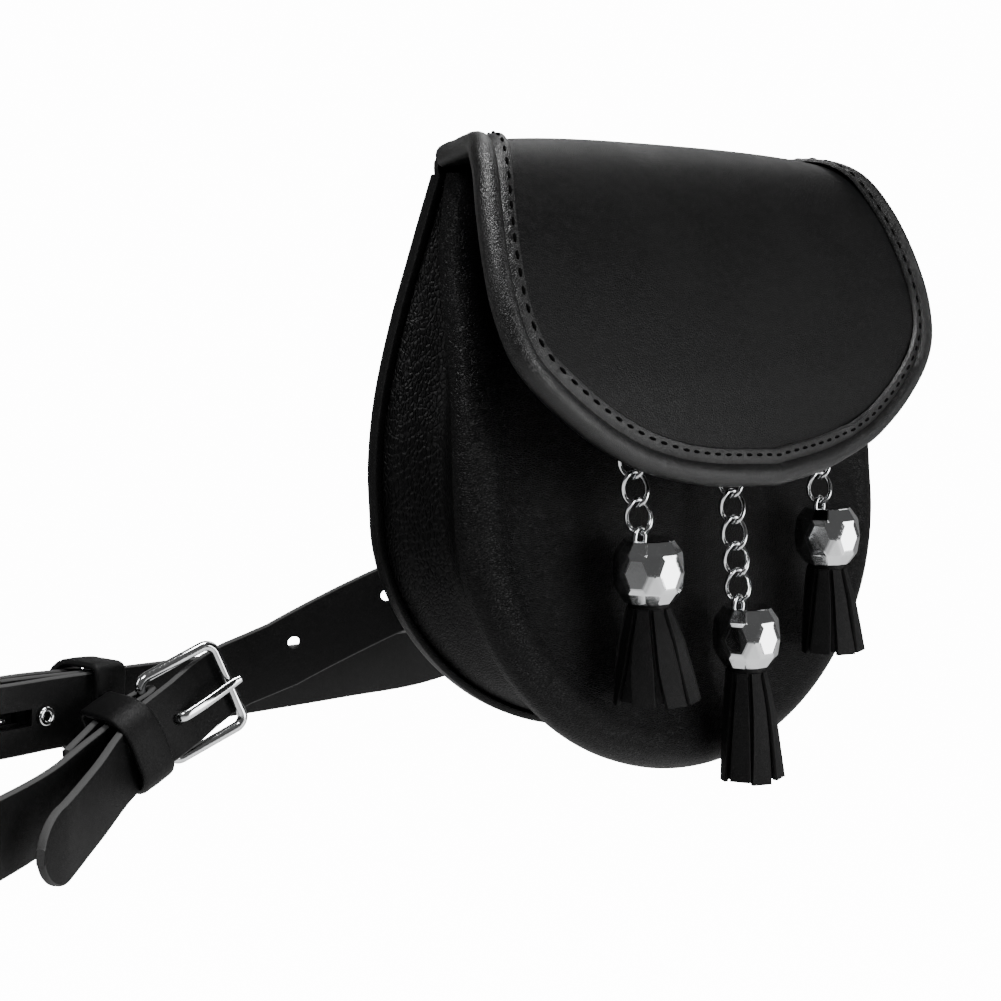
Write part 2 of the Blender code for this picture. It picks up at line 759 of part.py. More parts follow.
def tassel_solid(name, top, spread, length, mat, col):
    """Leather tassel: a short round neck with strips fused to it, spreading downward."""
    x, y, z = top
    neck_path = [(x, y, z - TASSEL_NECK_HEIGHT), (x, y, z)]
    neck = loft(tube_rings(neck_path, TASSEL_NECK, TASSEL_SIDES), name, mat, col)
    strips = []
    for k in range(STRIPS):
        angle = 2.0 * math.pi * (k + STRIP_TURN) / STRIPS
        cut_short = STRIP_STAGGER if k % 2 else 0.0
        rings = strip_rings(top, angle, STRIPS, TASSEL_NECK - STRIP_BITE, spread, length - cut_short)
        strips.append(loft(rings, name + "_strip", mat, col))
    for k in range(INNER_STRIPS):
        angle = 2.0 * math.pi * (k + 0.5) / INNER_STRIPS
        rings = strip_rings(top, angle, INNER_STRIPS, INNER_START, spread * INNER_SPREAD, length - 2.0 * STRIP_STAGGER)
        strips.append(loft(rings, name + "_strip", mat, col))
    join_solids(neck, strips)


def arch_path(centre, reach, rise, turn, legs):
    """A standing wire arch with straight legs below it."""
    across = Vector((math.cos(turn), math.sin(turn), 0.0))
    base = Vector(centre)
    path = [base - across * reach - Vector((0.0, 0.0, legs))]
    for k in range(EYE_STEPS + 1):
        angle = math.pi * (1.0 - k / EYE_STEPS)
        path.append(base + across * (reach * math.cos(angle)) + Vector((0.0, 0.0, rise * math.sin(angle))))
    path.append(base + across * reach - Vector((0.0, 0.0, legs)))
    return path


def build_anchor(name, line, top, mats, col):
    """The fixing a chain hangs from: a ring, a post and a round plate against the front."""
    turn = math.radians(90.0 + LINK_TWIST)
    around = line.across * math.cos(turn) + line.depth * math.sin(turn)
    centre = line.at(top - LINK_WIRE - WIRE_GAP + ANCHOR_RING)
    path = []
    for k in range(ANCHOR_STEPS):
        angle = 2.0 * math.pi * (k + 0.5) / ANCHOR_STEPS
        path.append(centre + around * (ANCHOR_RING * math.cos(angle)) + line.along * (ANCHOR_RING * math.sin(angle)))
    ring = loft(tube_rings(path, LINK_WIRE / 2.0, WIRE_SIDES, closed=True), f"chain_anchor_{name}", mats["metal"], col,
                closed=True)
    crown = centre + line.along * (ANCHOR_RING * math.cos(math.pi / ANCHOR_STEPS))
    wall_y = anchor_wall(crown.x, crown.z) - GAP
    stem = [(crown.x, crown.y, crown.z), (crown.x, wall_y - ANCHOR_PLATE_WALL / 2.0, crown.z)]
    post = loft(tube_rings(stem, ANCHOR_POST, WIRE_SIDES), "post", mats["metal"], col)
    disc = [(crown.x, wall_y - ANCHOR_PLATE_WALL, crown.z), (crown.x, wall_y, crown.z)]
    plate = loft(tube_rings(disc, ANCHOR_PLATE, ANCHOR_STEPS), "plate", mats["metal"], col)
    join_solids(ring, [post, plate])


def build_drops(mats, col):
    radius = LINK_WIRE / 2.0
    height = LINK_PITCH + LINK_WIRE + WIRE_GAP
    for name, x, y, bead_z, lean_x, lean_y, links, spread, length in DROPS:
        bead_top = bead_z + BEAD_HEIGHT / 2.0
        eye_x, eye_y = x + EYE_OFFSET[0], y + EYE_OFFSET[1]
        line = HangLine((eye_x, eye_y, bead_top + EYE_RISE), lean_x, lean_y, LINK_PITCH * links)
        first = height / 2.0 - LINK_WIRE - WIRE_GAP
        for k in range(links):
            rings = tube_rings(link_path(line, first + LINK_PITCH * k), radius, WIRE_SIDES, closed=True)
            loft(rings, f"chain_{name}_link_{links - k:02d}", mats["metal"], col, closed=True)
        bead = bead_solid(f"bead_{name}", (x, y, bead_z), mats["metal"], col)
        turn = math.radians(90.0 - LINK_TWIST + LINK_FACING)
        eye_path = arch_path((eye_x, eye_y, bead_top), EYE_REACH, EYE_RISE, turn, EYE_LEGS)
        join_solids(bead, [loft(tube_rings(eye_path, radius, WIRE_SIDES), "eye", mats["metal"], col)])
        build_anchor(name, line, first + LINK_PITCH * (links - 1) + height / 2.0, mats, col)
        tassel_solid(f"tassel_{name}", (x, y, bead_z - BEAD_HEIGHT / 2.0 - GAP), spread, length, mats["leather"], col)


def anchor_wall(x, z):
    """Foremost point of the front panel near an anchor's plate."""
    low = z - ANCHOR_PLATE
    half = table_value(BODY_SIDE, 2, z) - FRONT_ROLL[-1][0]
    rim = -ridge_forward(low) + FRONT_ROLL[-1][1]
    t = 1.0 - min(max(abs(x) - ANCHOR_PLATE, 0.0) / half, 1.0)
    return lerp(rim, front_face_y(low), 1.0 - (1.0 - t) ** 2)


class StrapRoute:
    """The strap's closed middle line with its directions."""

    def __init__(self):
        self.curve = Curve(smooth_path(STRAP_ROUTE, ROUTE_STEPS, closed=True), closed=True)
        self.length = self.curve.length

    def frame(self, s):
        along = self.curve.tangent(s, ROUTE_REACH)
        flat = Vector((along.x, along.y, 0.0)).normalized()
        out = Vector((-flat.y, flat.x, 0.0))
        up = along.cross(out)
        if up.z < 0:
            up = -up
        return along, out, up

    def place(self, s, lift):
        return self.curve.point(s) + self.frame(s)[1] * lift

    def straight_offset(self, bar, ahead):
        """From the route at bar - ahead to the straight line through the bar: lift and rise."""
        along = self.frame(bar)[0]
        _, out, up = self.frame(bar - ahead)
        away = self.curve.point(bar) - along * ahead - self.curve.point(bar - ahead)
        return away.dot(out), away.dot(up)

    def nearest(self, target):
        """Length along the strap at the point nearest to a place seen from above."""
        return float(min(range(int(self.length)), key=lambda s: (self.curve.point(s).xy - Vector(target)).length))


def ribbon(route, stations, name, mat, col):
    """A flat strap through (s, lift, rise, half width) stations, with its own thickness."""
    centres = [route.place(s, lift) + route.frame(s)[2] * rise for s, lift, rise, _ in stations]
    rings = []
    last = len(centres) - 1
    for i, (s, _, _, half) in enumerate(stations):
        up = route.frame(s)[2]
        along = (centres[min(i + 1, last)] - centres[max(i - 1, 0)]).normalized()
        across = along.cross(up).normalized()
        up = across.cross(along).normalized()
        a, b = up * half, across * (STRAP_WALL / 2.0)
        c = centres[i]
        rings.append([c + a + b, c + a - b, c - a - b, c - a + b])
    return loft(rings, name, mat, col)


def strap_stations(route, tail_bar, fold_bar):
    """Stations of one strap, from the tip of its tail to the end of its fold.

    The tail passes the buckle whose bar is at tail_bar; the strap then runs down the
    route to fold_bar, where it folds round the other buckle's bar.
    """
    half = STRAP_WIDTH / 2.0
    tip = half * TAIL_TIP_SHARE
    stations = []
    for k in range(TAIL_TIP_STEPS + 1):
        turn = math.radians(90.0 * k / TAIL_TIP_STEPS)
        ahead = tip * (1.0 - math.cos(turn)) - TAIL_LENGTH
        width = half * max(math.sin(turn), TAIL_POINT_SHARE)
        stations.append((tail_bar - ahead, TAIL_END_LIFT, -TAIL_SAG, width))
    for k in range(1, TAIL_SPANS):
        share = k / TAIL_SPANS
        ahead = lerp(tip - TAIL_LENGTH, TAIL_ROWS[0][0], share)
        lift = lerp(TAIL_END_LIFT, TAIL_ROWS[0][1], share)
        stations.append((tail_bar - ahead, lift, -TAIL_SAG * (1.0 - share) ** 2, half))
    for ahead, lift, straight in TAIL_ROWS:
        off_lift, off_rise = route.straight_offset(tail_bar, ahead)
        stations.append((tail_bar - ahead, lift + off_lift * straight, off_rise * straight, half))
    start = tail_bar - TAIL_ROWS[-1][0]
    stop = fold_bar + FOLD_START
    count = max(3, int((start - stop) / STATION_SPACING))
    stations += [(lerp(start, stop, k / count), 0.0, 0.0, half) for k in range(1, count + 1)]
    stations += [(fold_bar + back, lift, 0.0, half) for back, lift in FOLD_OUTER_ROWS]
    for k in range(FOLD_STEPS + 1):
        angle = math.pi * (0.5 - k / FOLD_STEPS)
        stations.append((fold_bar - FOLD_RADIUS * math.cos(angle), FOLD_RADIUS * math.sin(angle), 0.0, half))
    stations += [(fold_bar + back, lift, 0.0, half) for back, lift in FOLD_INNER_ROWS]
    return stations


def box_cutter(route, s, name, col):
    """A box cutter for the slot that lets a prong out of a fold."""
    along, out, up = route.frame(s)
    centre = route.curve.point(s)
    corners = ((-0.5, -0.5), (0.5, -0.5), (0.5, 0.5), (-0.5, 0.5))
    rings = []
    for side in (-0.5, 0.5):
        face = centre + out * (side * FOLD_SLOT_DEPTH)
        rings.append([face + along * (a * FOLD_SLOT_LENGTH) + up * (b * FOLD_SLOT_WIDTH) for a, b in corners])
    return loft(rings, name, bpy.data.materials["cutter"], col)


def hole_cutter(route, s, lift, rise, radius, name, col):
    """A round cutter for a strap hole."""
    _, out, up = route.frame(s)
    centre = route.place(s, lift) + up * rise
    ends = [centre + out * (side * HOLE_DEPTH) for side in (-0.5, 0.5)]
    return loft(tube_rings(ends, radius, HOLE_SIDES), name, bpy.data.materials["cutter"], col)


def build_buckle(route, bar, label, mats, col):
    """Rectangular buckle with its strap bar at bar and its free bar ahead of it, and its prong."""
    along, out, up = route.frame(bar)
    ahead = -along
    origin = route.curve.point(bar)
    top = BUCKLE_HEIGHT / 2.0 - BUCKLE_CORNER
    far = BUCKLE_LENGTH - BUCKLE_CORNER
    path = []
    corners = ((far, top, 90.0), (far, -top, 0.0), (BUCKLE_CORNER, -top, -90.0), (BUCKLE_CORNER, top, -180.0))
    for reach, rise, start in corners:
        for k in range(CORNER_STEPS + 1):
            angle = math.radians(start - 90.0 * k / CORNER_STEPS)
            path.append(origin + ahead * (reach + BUCKLE_CORNER * math.cos(angle))
                        + up * (rise + BUCKLE_CORNER * math.sin(angle)))
    rings = tube_rings(path, BUCKLE_BAR / 2.0, BUCKLE_SIDES, closed=True)
    loft(rings, f"buckle_{label}", mats["metal"], col, closed=True)

    eye_radius = BUCKLE_BAR / 2.0 + GAP + PRONG_WIRE
    eye = []
    for k in range(PRONG_EYE_STEPS):
        angle = 2.0 * math.pi * k / PRONG_EYE_STEPS
        eye.append(origin + ahead * (eye_radius * math.cos(angle)) + out * (eye_radius * math.sin(angle)))
    prong = loft(tube_rings(eye, PRONG_WIRE, WIRE_SIDES, closed=True), f"prong_{label}", mats["metal"], col, closed=True)
    rings = []
    for reach, lift, half, wall in PRONG_ROWS:
        c = origin + ahead * reach + out * lift
        rings.append([c + up * half + out * wall, c + up * half - out * wall, c - up * half - out * wall,
                      c - up * half + out * wall])
    join_solids(prong, [loft(rings, "prong_rod", mats["metal"], col)])


def build_keeper(route, s, label, mats, col):
    """Leather keeper round the folded strap and the tail."""
    along, out, up = route.frame(s)
    centre = route.curve.point(s)
    half = STRAP_WIDTH / 2.0 + KEEPER_ROOM
    loop = ((-half, KEEPER_INNER), (-half, KEEPER_OUTER - KEEPER_BEVEL), (-half + KEEPER_BEVEL, KEEPER_OUTER),
            (half - KEEPER_BEVEL, KEEPER_OUTER), (half, KEEPER_OUTER - KEEPER_BEVEL), (half, KEEPER_INNER))
    verts = []
    for wall in (0.0, KEEPER_WALL):
        for side in (-KEEPER_WIDTH / 2.0, KEEPER_WIDTH / 2.0):
            for rise, lift in loop:
                grown = lift + (wall if lift > 0 else -wall)
                verts.append(tuple(centre + along * side + up * (rise + math.copysign(wall, rise)) + out * grown))
    count = len(loop)
    block = 2 * count
    faces = []
    for j in range(count):
        k = (j + 1) % count
        faces.append((j, k, count + k, count + j))
        faces.append((block + j, block + count + j, block + count + k, block + k))
        faces.append((j, block + j, block + k, k))
        faces.append((count + j, count + k, block + count + k, block + count + j))
    fix_normals(make_object(f"keeper_{label}", verts, faces, mats["leather"], col))


def build_strap(mats, col, cutters):
    route = StrapRoute()
    near = route.nearest(NEAR_BAR_XY)
    far = route.nearest(FAR_BAR_XY)
    for name, tail_bar, fold_bar, free_holes in (
        ("strap_front", near, far - route.length, FREE_HOLES_AHEAD),
        ("strap_back", far, near, ()),
    ):
        strap = ribbon(route, strap_stations(route, tail_bar, fold_bar), name, mats["leather"], col)
        prong_lift = PRONG_HOLE_LIFT + route.straight_offset(tail_bar, PRONG_HOLE_AHEAD)[0]
        holes = [(PRONG_HOLE_AHEAD, prong_lift, 0.0, PRONG_HOLE_RADIUS)]
        holes += [(ahead, 0.0, FREE_HOLE_RISE, HOLE_RADIUS) for ahead in free_holes]
        for k, (ahead, lift, rise, radius) in enumerate(holes):
            cut(strap, hole_cutter(route, tail_bar - ahead, lift, rise, radius, f"cut_{name}_hole_{k}", cutters))
        cut(strap, box_cutter(route, fold_bar + FOLD_SLOT_BACK, f"cut_{name}_slot", cutters))
    for label, bar, keeper_back in (("near", near, NEAR_KEEPER_BACK), ("far", far, FAR_KEEPER_BACK)):
        build_buckle(route, bar, label, mats, col)
        build_keeper(route, bar + keeper_back, label, mats, col)
    along, _, up = route.frame(far + EYELET_BACK)
    centre = route.place(far + EYELET_BACK, EYELET_LIFT)
    path = []
    for k in range(EYELET_STEPS):
        angle = 2.0 * math.pi * k / EYELET_STEPS
        path.append(centre + along * (EYELET_RADIUS * math.cos(angle)) + up * (EYELET_RADIUS * math.sin(angle)))
    loft(tube_rings(path, EYELET_WIRE, WIRE_SIDES, closed=True), "strap_eyelet", mats["metal"], col, closed=True)


def build_back_loops(mats, col):
    for label, x in (("left", -LOOP_X), ("right", LOOP_X)):
        rings = []
        for side in (-LOOP_WIDTH / 2.0, LOOP_WIDTH / 2.0):
            ring = [Vector((x + side, y, z)) for z, y in LOOP_ROWS]
            ring += [Vector((x + side, y + LOOP_WALL, z)) for z, y in reversed(LOOP_ROWS)]
            rings.append(ring)
        loft(rings, f"back_loop_{label}", mats["leather"], col)


def main():
    clear_scene()
    parts = bpy.data.collections.new("sporran_pouch")
    cutters = bpy.data.collections.new("cutters")
    bpy.context.scene.collection.children.link(parts)
    bpy.context.scene.collection.children.link(cutters)
    make_material("cutter", CUTTER_COLOUR, 0.0, 0.5)
    mats = {
        "leather": make_material("black_leather", LEATHER_COLOUR, 0.0, 0.5),
        "gusset": make_material("soft_black_leather", GUSSET_COLOUR, 0.0, 0.6),
        "metal": make_material("polished_chrome", METAL_COLOUR, 1.0, 0.12),
    }
    build_body(mats, parts)
    build_flap(mats, parts)
    build_back_loops(mats, parts)
    build_drops(mats, parts)
    build_strap(mats, parts, cutters)


main()
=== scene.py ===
"""Dresses the sporran pouch: leather, stitching, chains, chrome and a plain studio.

Laid out as a Blender add-on and run as a script. Lengths in the tables are millimetres.
"""

import math
import random

import bmesh
import bpy
import numpy as np
from mathutils import Matrix, Vector, noise


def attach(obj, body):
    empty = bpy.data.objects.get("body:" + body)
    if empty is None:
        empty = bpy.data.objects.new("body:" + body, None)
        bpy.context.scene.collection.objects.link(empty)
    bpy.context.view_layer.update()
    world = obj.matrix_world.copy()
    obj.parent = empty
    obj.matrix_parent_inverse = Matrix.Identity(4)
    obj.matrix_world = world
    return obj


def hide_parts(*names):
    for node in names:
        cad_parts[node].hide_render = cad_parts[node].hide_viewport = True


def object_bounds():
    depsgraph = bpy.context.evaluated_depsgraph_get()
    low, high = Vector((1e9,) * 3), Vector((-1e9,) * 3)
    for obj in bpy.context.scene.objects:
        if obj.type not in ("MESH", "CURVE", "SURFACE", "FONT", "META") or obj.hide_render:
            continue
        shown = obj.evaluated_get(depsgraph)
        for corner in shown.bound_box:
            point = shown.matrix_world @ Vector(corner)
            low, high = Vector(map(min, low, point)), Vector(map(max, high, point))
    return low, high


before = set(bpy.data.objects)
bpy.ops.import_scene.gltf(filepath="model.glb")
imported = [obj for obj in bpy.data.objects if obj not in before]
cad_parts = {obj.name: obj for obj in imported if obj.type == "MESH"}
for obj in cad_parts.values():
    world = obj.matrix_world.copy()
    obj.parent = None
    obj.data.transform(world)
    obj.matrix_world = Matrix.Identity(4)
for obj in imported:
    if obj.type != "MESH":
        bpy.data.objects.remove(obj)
CAD_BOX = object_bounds()

bl_info = {
    "name": "Sporran pouch",
    "version": (1, 0, 0),
    "blender": (4, 5, 0),
    "location": "View3D > Sidebar > Sporran",
    "description": "Builds the leather, stitching, chains and chrome of a sporran pouch",
    "category": "Object",
}

MM = 0.001
GAP = 0.3

# Pouch body: height, half width of the back, half width of the front, and how far
# forward the back edge of the front panel stands.
# Columns: z, back_half, front_half, ridge.
BODY_SIDE = (
    (85.0, 70.5, 70.5, 8.5),
    (78.0, 73.5, 73.5, 10.0),
    (62.0, 80.0, 80.0, 15.0),
    (44.0, 87.0, 87.5, 24.5),
    (24.0, 93.0, 94.0, 33.0),
    (6.0, 95.5, 97.0, 36.5),
    (-10.0, 95.0, 97.5, 38.0),
)
BODY_BACK_BOTTOM = -83.0
BODY_FRONT_BOTTOM = -87.5
BACK_ROUNDNESS = 1.8
FRONT_ROUNDNESS = 1.98
SIDE_STEPS = 26
ARC_STEPS = 40
RIDGE_BOTTOM = 48.0

PANEL_WALL = 2.2
GUSSET_WALL = 1.5
# Rolled edge of the back panel and of the front panel: inset from the outline and depth.
BACK_ROLL = ((0.0, -6.0), (0.5, -2.4), (2.6, -0.5), (7.0, 0.0))
FRONT_ROLL = ((0.0, 0.0), (0.1, -2.8), (1.6, -5.4), (4.6, -7.2), (8.8, -7.6), (13.0, -6.6))
BACK_SPINE_END = -40.0
FRONT_SPINE_END = -46.0
# Middle of the front face: height and how far forward it bulges.
FRONT_SPINE = (
    (87.0, 21.0),
    (66.0, 30.0),
    (44.0, 38.0),
    (22.0, 43.5),
    (0.0, 46.0),
    (-22.0, 46.5),
    (-46.0, 47.5),
)
# How the panels' rows crowd toward the top of the middle line.
SPINE_CROWDING = 1.15
BACK_FACE_STEPS = 6
FRONT_FACE_STEPS = 16
# Side gusset from back to front: share of its depth, inset, share of the fold's depth.
GUSSET_FOLD = (
    (0.0, 3.5, 0.0),
    (0.14, 4.2, 0.15),
    (0.34, 4.2, 0.85),
    (0.46, 4.2, 1.0),
    (0.64, 4.2, 0.72),
    (0.84, 4.2, 0.16),
    (1.0, 4.0, 0.0),
)
GUSSET_FOLD_DEPTH = 10.0
GUSSET_FULL_DEPTH = 28.0
GUSSET_BACK_Y = -4.0
GUSSET_FRONT_LAP = 2.0
GUSSET_TOP = 83.0

# Flap: outer face along its middle, from its end on the back over the top to the lower
# front edge, with its half width there.
# Columns: y, z, half_width, side_drop.
FLAP_ROWS = (
    (2.6, 58.0, 64.0, 0.0),
    (2.6, 72.0, 64.0, 0.0),
    (2.6, 85.0, 64.5, 0.0),
    (0.9, 89.6, 66.0, 0.6),
    (-5.0, 92.3, 68.5, 1.8),
    (-14.0, 93.8, 73.0, 2.8),
    (-24.0, 94.4, 79.0, 2.8),
    (-32.5, 93.5, 84.5, 2.0),
    (-39.0, 89.6, 89.5, 1.0),
    (-44.0, 83.5, 93.0, 0.3),
    (-49.0, 74.0, 97.0, 0.0),
    (-54.0, 62.0, 100.0, 0.0),
    (-58.5, 49.0, 101.0, 0.0),
    (-62.0, 37.0, 98.0, 0.0),
    (-64.3, 28.0, 90.5, 0.0),
    (-65.8, 19.0, 78.5, 0.0),
    (-66.8, 12.0, 66.0, 0.0),
    (-67.6, 6.5, 52.0, 0.0),
    (-68.3, 1.5, 29.0, 0.0),
    (-68.6, -1.0, 0.0, 0.0),
)
FLAP_WALL = 2.2
FLAP_BULGE = 2.5
FLAP_EDGE_STEPS = 110
FLAP_FACE_STEPS = 26
FLAP_POLE = 32.0
# Rows of the table where the bulge is full and where the face stops running straight across.
FLAP_BULGE_FULL = 10
FLAP_STRAIGHT_ROW = 11
FLAP_SIDE_MIN = 40.0
PATH_STEPS = 12
# First of the flap's edge points that the binding covers, counted from the back.
BIND_FIRST = 17
# Binding section: distance out from the flap's edge, height over its outer face.
BIND_SECTION = (
    (-8.8, 0.15),
    (-8.75, 0.9),
    (-8.4, 1.35),
    (-7.6, 1.5),
    (-6.6, 1.45),
    (-5.6, 1.3),
    (-4.9, 1.0),
    (-4.4, 0.8),
    (-3.9, 1.3),
    (-3.1, 2.1),
    (-2.0, 2.5),
    (-0.8, 2.5),
    (0.4, 2.0),
    (1.3, 1.1),
    (1.85, 0.0),
    (1.95, -1.2),
    (1.55, -2.6),
    (0.7, -3.6),
    (-0.6, -4.2),
    (-2.4, -4.4),
    (-5.0, -4.3),
    (-7.2, -4.1),
    (-7.3, -2.5),
    (0.5, -2.5),
    (0.5, 0.15),
)

# Leather loops on the back that the strap runs through: distance behind the back face.
LOOP_X = 50.0
LOOP_WIDTH = 16.0
LOOP_WALL = 2.0
# Columns: z, stand_off.
LOOP_ROWS = (
    (84.5, 2.8),
    (66.0, 2.8),
    (54.0, 3.6),
    (38.0, 6.4),
    (-44.0, 6.4),
    (-48.0, 4.0),
    (-50.5, GAP),
    (-57.0, GAP),
)

# Chains and drops.
# Columns: name, bead_x, bead_y, bead_z, lean_x, lean_y, links, spread, length.
DROPS = (
    ("left", -44.5, -60.0, -22.8, -2.2, 3.7, 4, 12.8, 26.6),
    ("centre", 0.0, -61.6, -47.6, 0.0, 5.0, 6, 10.0, 33.0),
    ("right", 44.5, -60.0, -22.8, 2.2, 3.7, 4, 10.4, 27.0),
)
EYE_OFFSET = (-1.0, 2.4)
LINK_PITCH = 7.75
LINK_WIRE = 1.4
LINK_WIDTH = 6.6
LINK_TWIST = 45.0
LINK_FACING = -47.0
LINK_SQUARENESS = 0.9
LINK_STEPS = 36
WIRE_SIDES = 12
WIRE_GAP = 0.3
BEAD_HEIGHT = 17.4
BEAD_RADIUS = 10.3
BEAD_END_RADIUS = 6.9
BEAD_SIDES = 6
BEAD_TURN = 18.0
BEAD_FACET_SHARE = 0.27
BEAD_SHOULDER = 0.62
EYE_REACH = 2.1
EYE_RISE = 2.9
EYE_LEGS = 2.5
EYE_STEPS = 16
ANCHOR_RING = 2.7
ANCHOR_STEPS = 24
ANCHOR_POST = 1.0
ANCHOR_PLATE = 3.4
ANCHOR_PLATE_WALL = 1.2
POST_END = 0.6
TASSEL_NECK = 5.6
TASSEL_NECK_HEIGHT = 4.0
TASSEL_LEAN = 1.2
TASSEL_BACK_SHARE = 0.5
STRIPS = 9
INNER_STRIPS = 4
STRIP_WIDTH = 6.4
STRIP_WALL = 1.5
STRIP_FILL = 0.92
STRIP_TURN = 0.12
STRIP_TOP = 0.6
STRIP_BITE = 0.4
STRIP_STAGGER = 0.8
INNER_START = 1.9
INNER_SPREAD = 0.45
TASSEL_SIDES = 40
# Strip section down its length: share of the length and share of the spread.
STRIP_ROWS = ((0.02, 0.0), (0.35, 0.42), (1.0, 1.0))

# Waist strap: the loop's middle line seen from above, and its height.
# Columns: x, y, z.
STRAP_ROUTE = (
    (-36.0, 2.2, -23.5),
    (-59.0, 3.4, -30.5),
    (-73.0, 14.0, -37.0),
    (-90.0, 28.0, -47.5),
    (-108.0, 38.0, -57.5),
    (-136.0, 48.5, -70.0),
    (-151.0, 46.5, -75.5),
    (-172.0, 34.0, -79.0),
    (-200.0, 14.0, -77.0),
    (-236.0, -4.0, -75.5),
    (-270.0, -8.0, -75.0),
    (-296.0, 7.0, -72.0),
    (-298.0, 32.0, -69.0),
    (-276.0, 48.0, -65.0),
    (-236.0, 53.0, -61.0),
    (-201.0, 55.0, -60.0),
    (-160.0, 62.5, -62.7),
    (-85.0, 75.0, -70.0),
    (-30.0, 82.0, -74.8),
    (20.0, 91.0, -79.2),
    (72.0, 98.0, -76.0),
    (116.0, 90.0, -62.0),
    (134.0, 60.0, -44.0),
    (116.0, 28.0, -26.0),
    (84.0, 9.0, -14.0),
    (58.0, 3.2, -8.0),
    (38.0, 2.2, -7.0),
    (0.0, 2.2, -14.0),
)
STRAP_WIDTH = 20.2
STRAP_WALL = 2.4
ROUTE_STEPS = 24
# Half of the length over which the strap's direction is read.
ROUTE_REACH = 4.0
STATION_SPACING = 4.0
NEAR_BAR_XY = (-131.5, 47.6)
FAR_BAR_XY = (-175.0, 59.6)
# Fold of a strap round a buckle's bar: distance back from the bar and height over the
# strap's middle line, of its outer layer and of its inner layer.
FOLD_RADIUS = 3.1
FOLD_START = 44.0
# Columns: back, lift.
FOLD_OUTER_ROWS = ((30.0, 0.7), (18.0, 2.1), (8.0, 3.0), (3.0, FOLD_RADIUS))
FOLD_INNER_ROWS = ((6.0, -FOLD_RADIUS), (16.0, -2.5), (34.0, -2.1))
FOLD_STEPS = 12
FOLD_SLOT_LENGTH = 16.0
FOLD_SLOT_WIDTH = 4.8
FOLD_SLOT_BACK = 1.5
FOLD_SLOT_DEPTH = 12.0
# Tail of a strap: distance ahead of the bar it passes, and height over the middle line.
TAIL_LENGTH = 82.0
TAIL_END_LIFT = 10.0
TAIL_TIP_STEPS = 14
TAIL_TIP_SHARE = 1.25
TAIL_POINT_SHARE = 0.22
TAIL_SPANS = 14
TAIL_SAG = 4.5
# straight is how far a row keeps to the straight line of the buckle instead of the route.
# Columns: ahead, lift, straight.
TAIL_ROWS = (
    (-8.0, 7.4, 0.3),
    (1.0, 6.6, 1.0),
    (8.0, 4.0, 1.0),
    (15.0, -0.4, 1.0),
    (21.0, -3.2, 1.0),
    (27.5, -3.3, 1.0),
    (34.0, -1.8, 0.5),
    (41.0, 0.0, 0.0),
)
HOLE_RADIUS = 1.8
HOLE_SIDES = 28
HOLE_DEPTH = 9.0
PRONG_HOLE_AHEAD = 5.6
PRONG_HOLE_LIFT = 5.0
PRONG_HOLE_RADIUS = 2.0
# Free holes of the front strap, measured ahead of the near buckle's bar.
FREE_HOLES_AHEAD = (45.5, 75.5)
FREE_HOLE_RISE = 1.6

BUCKLE_LENGTH = 24.0
BUCKLE_HEIGHT = 26.6
BUCKLE_BAR = 3.0
BUCKLE_CORNER = 3.2
BUCKLE_SIDES = 16
BUCKLE_CORNER_STEPS = 8
PRONG_WIRE = 0.65
PRONG_EYE_STEPS = 24
# Prong from its eye to its tip: distance ahead of the bar, height, half width, half thickness.
# Columns: ahead, lift, half_width, half_wall.
PRONG_ROWS = (
    (0.2, 2.45, 0.9, 0.5),
    (2.6, 3.4, 1.2, 0.7),
    (5.5, 6.4, 1.5, 0.8),
    (8.5, 7.0, 1.5, 0.8),
    (16.0, 5.4, 1.5, 0.8),
    (24.0, 2.9, 1.4, 0.8),
    (27.0, 2.4, 1.1, 0.8),
)
KEEPER_WIDTH = 11.0
KEEPER_WALL = 1.8
KEEPER_INNER = -6.0
KEEPER_OUTER = 12.2
KEEPER_ROOM = 1.1
NEAR_KEEPER_BACK = 10.6
FAR_KEEPER_BACK = 35.5
EYELET_RADIUS = 2.0
EYELET_WIRE = 0.75
EYELET_STEPS = 28
EYELET_BACK = 14.0
EYELET_LIFT = -5.0

# Rounded section of a strap: radius of its corners and points on each.
STRAP_CORNER = 0.75
STRAP_CORNER_STEPS = 3
# Depth in from a strap's side within which its points get the pale cut-edge colour, partly a painted
# highlight.
CUT_EDGE_HIGHLIGHT_DEPTH = 0.42
# Where the cut edge's paler colour starts and is full, as a share of its mark; the pale colour is partly raw
# leather and partly a painted highlight.
CUT_EDGE_HIGHLIGHT_FROM = 0.45
CUT_EDGE_HIGHLIGHT_TO = 0.75
CUT_EDGE_ROUGHNESS = 0.75
# Textures of the materials, in waves per metre, and how dark and pale leather's mottle is.
BEND_SCALE = 260.0
BEND_PULL = 0.0012
GROOVE_WIDTH = 0.22
PORE_SCALE = 2600.0
MOTTLE_SCALE = 38.0
MOTTLE_RANGE = (0.3, 0.7)
MOTTLE_DARK = 0.72
MOTTLE_PALE = 1.35
CREASE_SCALE = 90.0
CHROME_WAVE_SCALE = 220.0
CHROME_WAVE_DEPTH = 0.00004
CHROME_SCUFF_SCALE = 1900.0
CHROME_SCUFF_RANGE = (0.35, 0.75)
CHROME_SCUFF_ROUGHNESS = 0.12
CHROME_TINT = 0.9
THREAD_TWIST_SCALE = 3200.0
THREAD_TWIST_DEPTH = 0.0001
THREAD_DARK = 0.6
THREAD_ROUGHNESS = 0.9
PAPER_ROUGHNESS = 0.9
KEEPER_CORNER = 7.2
KEEPER_CORNER_STEPS = 6
KEEPER_SECTION_CORNER = 0.85
KEEPER_INNER_CORNER = 1.2
# Section of a keeper: how much its inner edges are broken, how high its middle stands and
# how far from its corners the middle point of each outer corner lies.
KEEPER_LIP = 0.25
KEEPER_CROWN = 0.12
KEEPER_CORNER_SHARE = 0.3
LEATHER_BEVEL = 0.45
MERGE_DISTANCE = 0.0001
